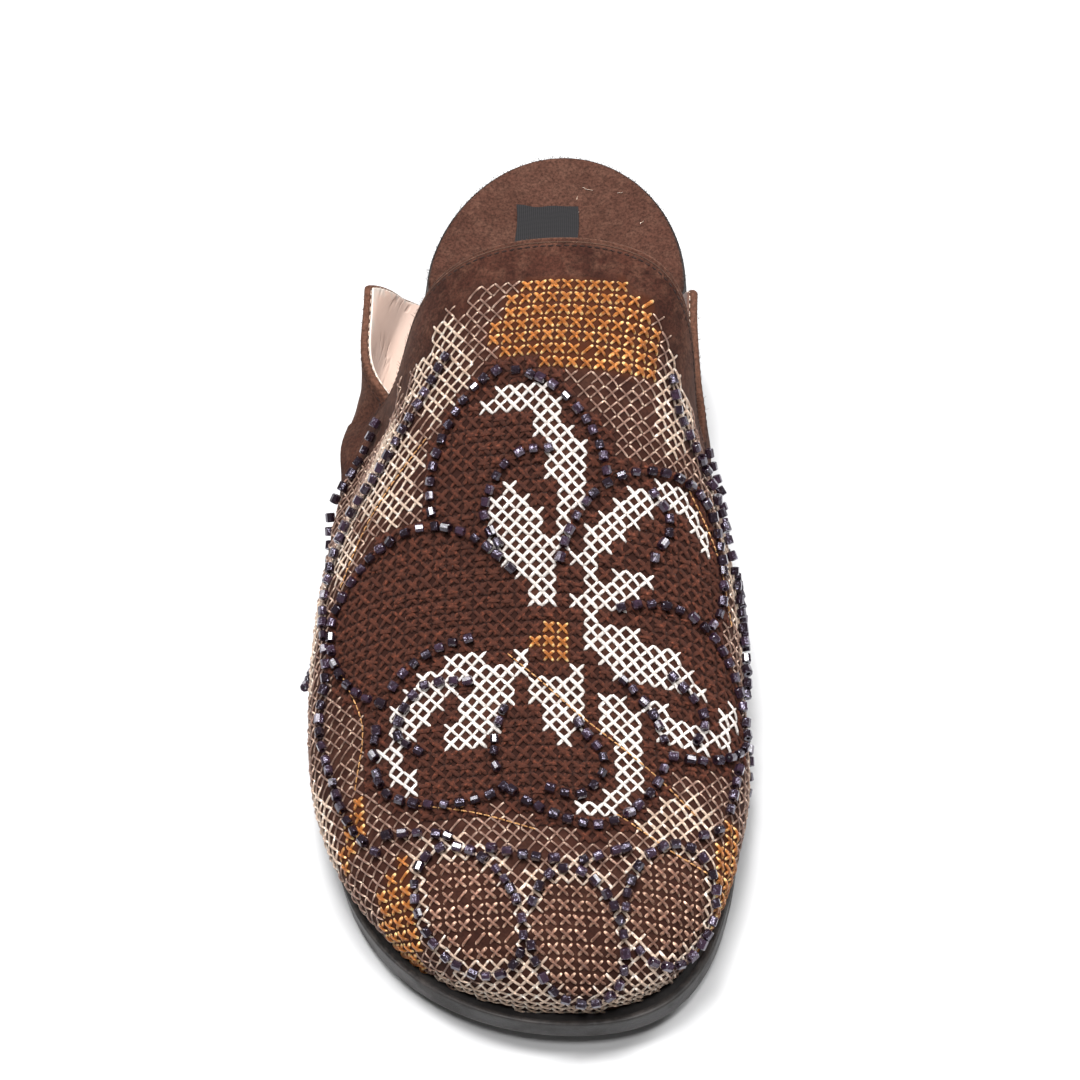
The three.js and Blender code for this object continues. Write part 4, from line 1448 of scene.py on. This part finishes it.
def petal_line(way, length, half):
    """Round a petal from near its foot, over the tip and back."""
    c, s = math.cos(math.radians(way)), math.sin(math.radians(way))
    line = []
    for side in (-1, 1):
        along = PETAL_FOOT + (1 - PETAL_FOOT) * np.sin(quarter(60))
        part = [(length * a, side * half * petal_width(a)) for a in along]
        line += part if side < 0 else part[::-1]
    return [(HEART[0] + u * s + v * c, HEART[1] + u * c - v * s) for u, v in line]


def free_line(*places):
    """A smooth curve through a few places."""
    places = np.array(places, float)
    where = np.linspace(0, len(places) - 1, 40 * len(places))
    k = np.clip(where.astype(int), 0, len(places) - 2)
    t = (where - k)[:, None]
    slope = np.gradient(places, axis=0)
    return [tuple(p) for p in bridge(t, places[k], places[k + 1], slope[k], slope[k + 1])]


def clear_of_petals(line, after):
    """Leaves out the parts of a line that a later petal covers."""

    def covered(x, y):
        spots = [on_petal(x, y, *petal[:3]) for petal in PETALS[after:]]
        return any(0.1 < along < 0.99 and abs(across) < 0.97 for along, across in spots)

    return [place for place in line if not covered(*place)]


LOOSE_LINES = [
    [(-26, 172), (-33, 162), (-43, 150), (-55, 140), (-58, 122), (-54, 104), (-55, 90), (-51, 76),
     (-46, 62), (-38, 52)],
    [(30, 168), (34, 158), (50, 146), (56, 128), (57, 112), (52, 96), (48, 82), (43, 66)],
    [(-38, 58), (-26, 56), (-12, 51), (4, 48), (20, 53), (34, 58), (43, 64)],
    [(-8, 120), (-14, 132), (-8, 144), (2, 146)],
    [(26, 122), (30, 132), (24, 140)],
    [(30, 96), (38, 88), (34, 78)],
    [(-16, 92), (-28, 92), (-34, 82), (-26, 74)],
    [(8, 82), (14, 72), (8, 64), (-2, 66)],
    [(-68, 178), (-76, 166), (-81, 150), (-81, 134), (-77, 118), (-68, 106)],
    [(64, 178), (72, 164), (77, 148), (79, 130), (77, 112), (71, 96)],
    [(68, 140), (62, 124), (70, 108), (64, 92), (68, 76)],
]
bead_lines = [clear_of_petals(petal_line(*petal[:3]), k + 1) for k, petal in enumerate(PETALS)]
bead_lines += [oval_line(*bud, BUD_GROW) for bud in BUDS]
bead_lines += [free_line(*line) for line in LOOSE_LINES]

BEAD_LENGTH, BEAD_RADIUS, BEAD_RISE = 2.15, 1.12, 0.45
BEAD_STEP, BEAD_STEP_MORE, BEAD_CLOSEST, BEAD_ASKEW = 3.25, 0.5, 2.5, 0.14
BEAD_EDGE, BEAD_SOLE, LINE_STEP, LINE_BREAK = 5, 4, 0.5, 1.6
bead_at, bead_way, bead_up = [], [], []
for line in bead_lines:
    laid = laid_line(line)
    if laid is None:
        continue
    points = spaced(laid, LINE_STEP)
    at = 1.0
    while at < len(points) * LINE_STEP - 1:
        k = min(len(points) - 2, max(1, int(at / LINE_STEP)))
        at += BEAD_STEP + BEAD_STEP_MORE * rng.random()
        way = points[k + 1] - points[k - 1]
        if np.linalg.norm(way) > LINE_BREAK:
            continue
        place_on_skin, normal = on_skin(points[k])
        foot = float(sole["floor"](place_on_skin[1] + LENGTH / 2))
        if edge_distance(place_on_skin[None])[0] < BEAD_EDGE or place_on_skin[2] < foot + BEAD_SOLE:
            continue
        if any(np.linalg.norm(place_on_skin - other) < BEAD_CLOSEST for other in bead_at):
            continue
        bead_at.append(place_on_skin)
        bead_way.append(unit(way + rng.normal(0, BEAD_ASKEW, 3)))
        bead_up.append(normal)


BEAD_SIDES = 8
# Shares of a bead's length and radius, from the hole over the wall and back.
BEAD_PROFILE = [(-0.5, 0.42), (-0.5, 0.86), (-0.42, 1.0), (0.42, 1.0), (0.5, 0.86), (0.5, 0.42)]


def bead_shape():
    """A short cut tube with a hole, along its own first axis."""
    bm = bmesh.new()
    rings = []
    for along, radius in BEAD_PROFILE:
        made = bmesh.ops.create_circle(bm, segments=BEAD_SIDES, radius=radius * BEAD_RADIUS)["verts"]
        for v in made:
            v.co = Vector((along * BEAD_LENGTH, v.co.x, v.co.y))
        rings.append(made)
    for a, b in zip(rings, rings[1:] + rings[:1]):
        for k in range(BEAD_SIDES):
            after = (k + 1) % BEAD_SIDES
            bm.faces.new((a[k], a[after], b[after], b[k]))
    bmesh.ops.recalc_face_normals(bm, faces=bm.faces)
    verts = np.array([v.co for v in bm.verts])
    faces = np.array([[v.index for v in f.verts] for f in bm.faces])
    bm.free()
    return verts, faces


shape, shape_faces = bead_shape()
at, way, up = (np.array(part) for part in (bead_at, bead_way, bead_up))
up = unit(up - np.sum(up * way, axis=1, keepdims=True) * way)
beside = np.cross(up, way)
size = 1 + 0.2 * (rng.random((len(at), 1, 1)) - 0.5)
spin = rng.random((len(at), 1)) * math.pi / 4
local = shape[None] * size
out_y = local[..., 1] * np.cos(spin) - local[..., 2] * np.sin(spin)
out_z = local[..., 1] * np.sin(spin) + local[..., 2] * np.cos(spin)
verts = (
    (at + up * (BEAD_RADIUS + BEAD_RISE))[:, None] + local[..., 0:1] * way[:, None]
    + out_y[..., None] * beside[:, None] + out_z[..., None] * up[:, None]
)
faces = (shape_faces[None] + (np.arange(len(at)) * len(shape))[:, None, None]).reshape(-1, 4)
marks = {"tint": np.broadcast_to(rng.random((len(at), 1)), (len(at), len(shape)))}
beads = array_mesh("beads", verts.reshape(-1, 3), faces.tolist(), marks=marks)
show("beads", beads, BEAD, crease=35)

# ---- edge stitching ------------------------------------------------------------------------


def edge_inset(line, inset):
    """A line on the skin at a distance from the free edge."""
    way = unit(np.gradient(line, axis=0))
    points, normals = all_on_skin(line)
    across = unit(np.cross(normals, way))
    tried = points + across * inset
    other = points - across * inset
    away, back = edge_distance(all_on_skin(tried)[0]), edge_distance(all_on_skin(other)[0])
    outward = np.where((away > back)[:, None], -across, across)
    return all_on_skin(points - outward * inset) + (outward,)


def dashes(name, line, normals, part, material, wide, high):
    """A row of short stitches along a line."""
    share = np.linspace(0, 1, 4)[None, :, None]
    flat = mix(line[:-1, None], mix(line[:-1], line[1:], part)[:, None], share)
    paths = flat + normals[:-1, None] * (high * 0.9 * np.sin(share * math.pi) - high * 0.2)
    ups = np.broadcast_to(normals[:-1, None], paths.shape)
    show(name, strands(name, paths, ups, wide, high, sides=5), material)


SEAM_STEP, SEAM_INSET, SEAM_CLEAR = 1.9, 1.7, 1.1
inset_line, inset_normals, outward = edge_inset(spaced(edge_line, SEAM_STEP), SEAM_INSET)
keep = edge_distance(inset_line) > SEAM_CLEAR
dashes("edge_stitching", inset_line[keep], inset_normals[keep], 0.7, YARNS["seam"], 0.24, 0.12)
RIM_STEP, RIM_INSET, RIM_OUT, RIM_LOWEST = 2.2, 0.6, 0.42, 4
rim_line = spaced(edge_line, RIM_STEP)
inset_line, rim_normals, outward = edge_inset(rim_line, RIM_INSET)
rim_line = rim_line - rim_normals * SUEDE_WALL + outward * RIM_OUT
keep = rim_line[:, 2] > sole["floor"](rim_line[:, 1] + LENGTH / 2) + RIM_LOWEST
dashes("lining_seam", rim_line[keep], outward[keep], 0.6, YARNS["cream"], 0.16, 0.1)

# The turned edge of the suede makes a fine light ridge round the throat.
FOLD_STEP, FOLD_INSET, FOLD_LOWEST, FOLD_RISE = 0.7, 0.7, 58, 0.03
fold_points, fold_normals, outward = edge_inset(spaced(edge_line, FOLD_STEP), FOLD_INSET)
throat = fold_points[:, 2] > FOLD_LOWEST
fold_path = (fold_points + fold_normals * FOLD_RISE)[throat][None]
fold = strands("throat_fold", fold_path, fold_normals[throat][None], 0.2, 0.13, 6, (1, 1))
show("throat_fold", fold, YARNS["fold"])

# A few lines of glossy gold thread run among the beads.
GOLD_STEP, GOLD_RISE = 1.8, 0.7
GOLD_LINES = [
    [(-8, 98), (8, 84), (24, 72), (36, 62)], [(-30, 152), (-44, 138), (-53, 122)],
    [(-50, 102), (-43, 86), (-45, 70)], [(16, 60), (28, 53), (39, 50)],
    [(-32, 64), (-16, 60), (-2, 55)], [(36, 142), (46, 130), (50, 114)],
]
for number, line in enumerate(GOLD_LINES):
    gold, gold_normals = all_on_skin(spaced(laid_line(free_line(*line)), GOLD_STEP))
    gold = gold + gold_normals * GOLD_RISE
    dashes(f"gold_thread_{number}", gold, gold_normals, 0.78, YARNS["gold"], 0.2, 0.16)

# A short bar tack holds the foot of the outer notch.
NOTCH_REACH, NOTCH_TOP, TACK_RISE = 6, 60, 0.05
TACK_X, TACK_Y, TACK_Z, TACK_DROP = -1.0, -3.2, -0.5, -2.8
edge_s = edge_line[:, 1] + LENGTH / 2
by_notch = np.abs(edge_s - TOPLINE[-1]["notch_s"]) < NOTCH_REACH
by_notch &= (edge_line[:, 0] < 0) & (edge_line[:, 2] < NOTCH_TOP)
notch_foot = edge_line[np.argmin(np.where(by_notch, edge_line[:, 2], 999))]
tack_share = np.linspace(-1, 1, 9)
tack_way = [(TACK_X * share, TACK_Y * share, TACK_DROP + TACK_Z * share * share) for share in tack_share]
tack, tack_normals = all_on_skin(notch_foot + np.array(tack_way))
tack = (tack + tack_normals * TACK_RISE)[None]
tack_mesh = strands("bar_tack", tack, tack_normals[None], 0.34, 0.16, 6, (0.4, 1, 1, 0.4))
show("bar_tack", tack_mesh, YARNS["seam"])

# ---- loose fibres --------------------------------------------------------------------------

HAIR_SCATTER, HAIR_STRAY, HAIR_CURL = 0.25, 0.55, 0.3


def hairs(name, roots, lean, share_kept, length):
    """Loose fibres standing out of an edge, two for each root before some are left out."""
    roots, lean = (np.repeat(part, 2, axis=0) for part in (roots, lean))
    pick = rng.random(len(roots)) < share_kept
    roots, lean = roots[pick] + rng.normal(0, HAIR_SCATTER, (pick.sum(), 3)), lean[pick]
    way = unit(lean + rng.normal(0, HAIR_STRAY, lean.shape))
    curl = rng.normal(0, HAIR_CURL, lean.shape)
    share = np.linspace(0, 1, 4)[None, :, None]
    reach = (length * (0.4 + 0.9 * rng.random(len(roots))))[:, None, None]
    paths = roots[:, None] + reach * (way[:, None] * share + curl[:, None] * share**2)
    ups = np.broadcast_to(unit(np.cross(way, (0.3, 0.2, 0.9)))[:, None], paths.shape)
    return strands(name, paths, ups, 0.07, 0.06, 3, (1, 0.4))


EDGE_FUZZ_STEP, EDGE_FUZZ_INSET, EDGE_FUZZ_SUNK = 0.5, 0.2, 0.4
fuzz_line, normals, outward = edge_inset(spaced(edge_line, EDGE_FUZZ_STEP), EDGE_FUZZ_INSET)
fuzz = hairs("edge_fuzz", fuzz_line - normals * EDGE_FUZZ_SUNK, outward + 0.5 * normals, 0.75, 1.0)
show("edge_fuzz", fuzz, YARNS["fold"])

FUZZ_FROM, FUZZ_INSET, FUZZ_RISE = 0.7, 0.1, 0.3
bed_rim_z = lambda s, share, c: sole["bed"](s) + FUZZ_RISE
rim_t = np.linspace(FUZZ_FROM, 1, 260)
rim = np.concatenate([within(COVER_OUTLINE, rim_t, side, FUZZ_INSET, bed_rim_z) for side in (-1, 1)])
rim_out = unit(rim - np.array([0.0, 40.0, 20.0]))
show("bed_fuzz", hairs("bed_fuzz", rim, rim_out, 0.9, 0.7), YARNS["seam"])

LINT, LINT_LENGTH, LINT_RISE = 16, 1.3, 0.2
lint_x, lint_s = rng.uniform(-24, 24, LINT), rng.uniform(196, 250, LINT)
lint = stacked(lint_x, lint_s, bed_height(lint_x, lint_s) + LINT_RISE)
lint_way = unit(rng.normal(0, 1, (LINT, 3)) * (1, 1, 0.05))
lint_paths = lint[:, None] + lint_way[:, None] * np.linspace(0, LINT_LENGTH, 4)[None, :, None]
lint_paths = lint_paths + rng.normal(0, 0.1, (LINT, 4, 3)) * (1, 1, 0.3)
lint_up = np.broadcast_to((0.0, 0.0, 1.0), lint_paths.shape)
lint_mesh = strands("lint", lint_paths, lint_up, 0.12, 0.08, 4, (0.6, 1, 0.6))
show("lint", lint_mesh, YARNS["cream"])

# ---- floor and light -----------------------------------------------------------------------

FLOOR_SIZE, FLOOR_PAINT = 3, (0.62, 0.62, 0.625, 1)
floor_bm = bmesh.new()
bmesh.ops.create_grid(floor_bm, x_segments=1, y_segments=1, size=FLOOR_SIZE)
floor = bpy.data.objects.new("floor", to_mesh(floor_bm, "floor"))
scene.collection.objects.link(floor)
paper, board, shader, where = finish("floor_paper", 0.8, specular=0.1)
shader["Base Color"].default_value = FLOOR_PAINT
floor.data.materials.append(paper)

LAMPS_AIM = Vector((0, 0, 40)) * MM


def lamp(name, place_mm, size_mm, power):
    data = bpy.data.lights.new(name, "AREA")
    data.size = size_mm * MM
    data.energy = power
    light = bpy.data.objects.new(name, data)
    light.location = Vector(place_mm) * MM
    light.rotation_euler = (LAMPS_AIM - light.location).to_track_quat("-Z", "Y").to_euler()
    scene.collection.objects.link(light)


lamp("overhead", (-60, -20, 1350), 360, 22.5)
lamp("front", (40, -560, 1400), 240, 10)
lamp("left", (-650, 150, 1000), 350, 4.8)
lamp("right", (700, 250, 800), 350, 6.5)
world = bpy.data.worlds.new("studio")
scene.world = world
world.use_nodes = True
glow = world.node_tree.nodes["Background"].inputs
glow["Color"].default_value = WHITE
glow["Strength"].default_value = 0.15
scene.view_settings.view_transform = "Standard"
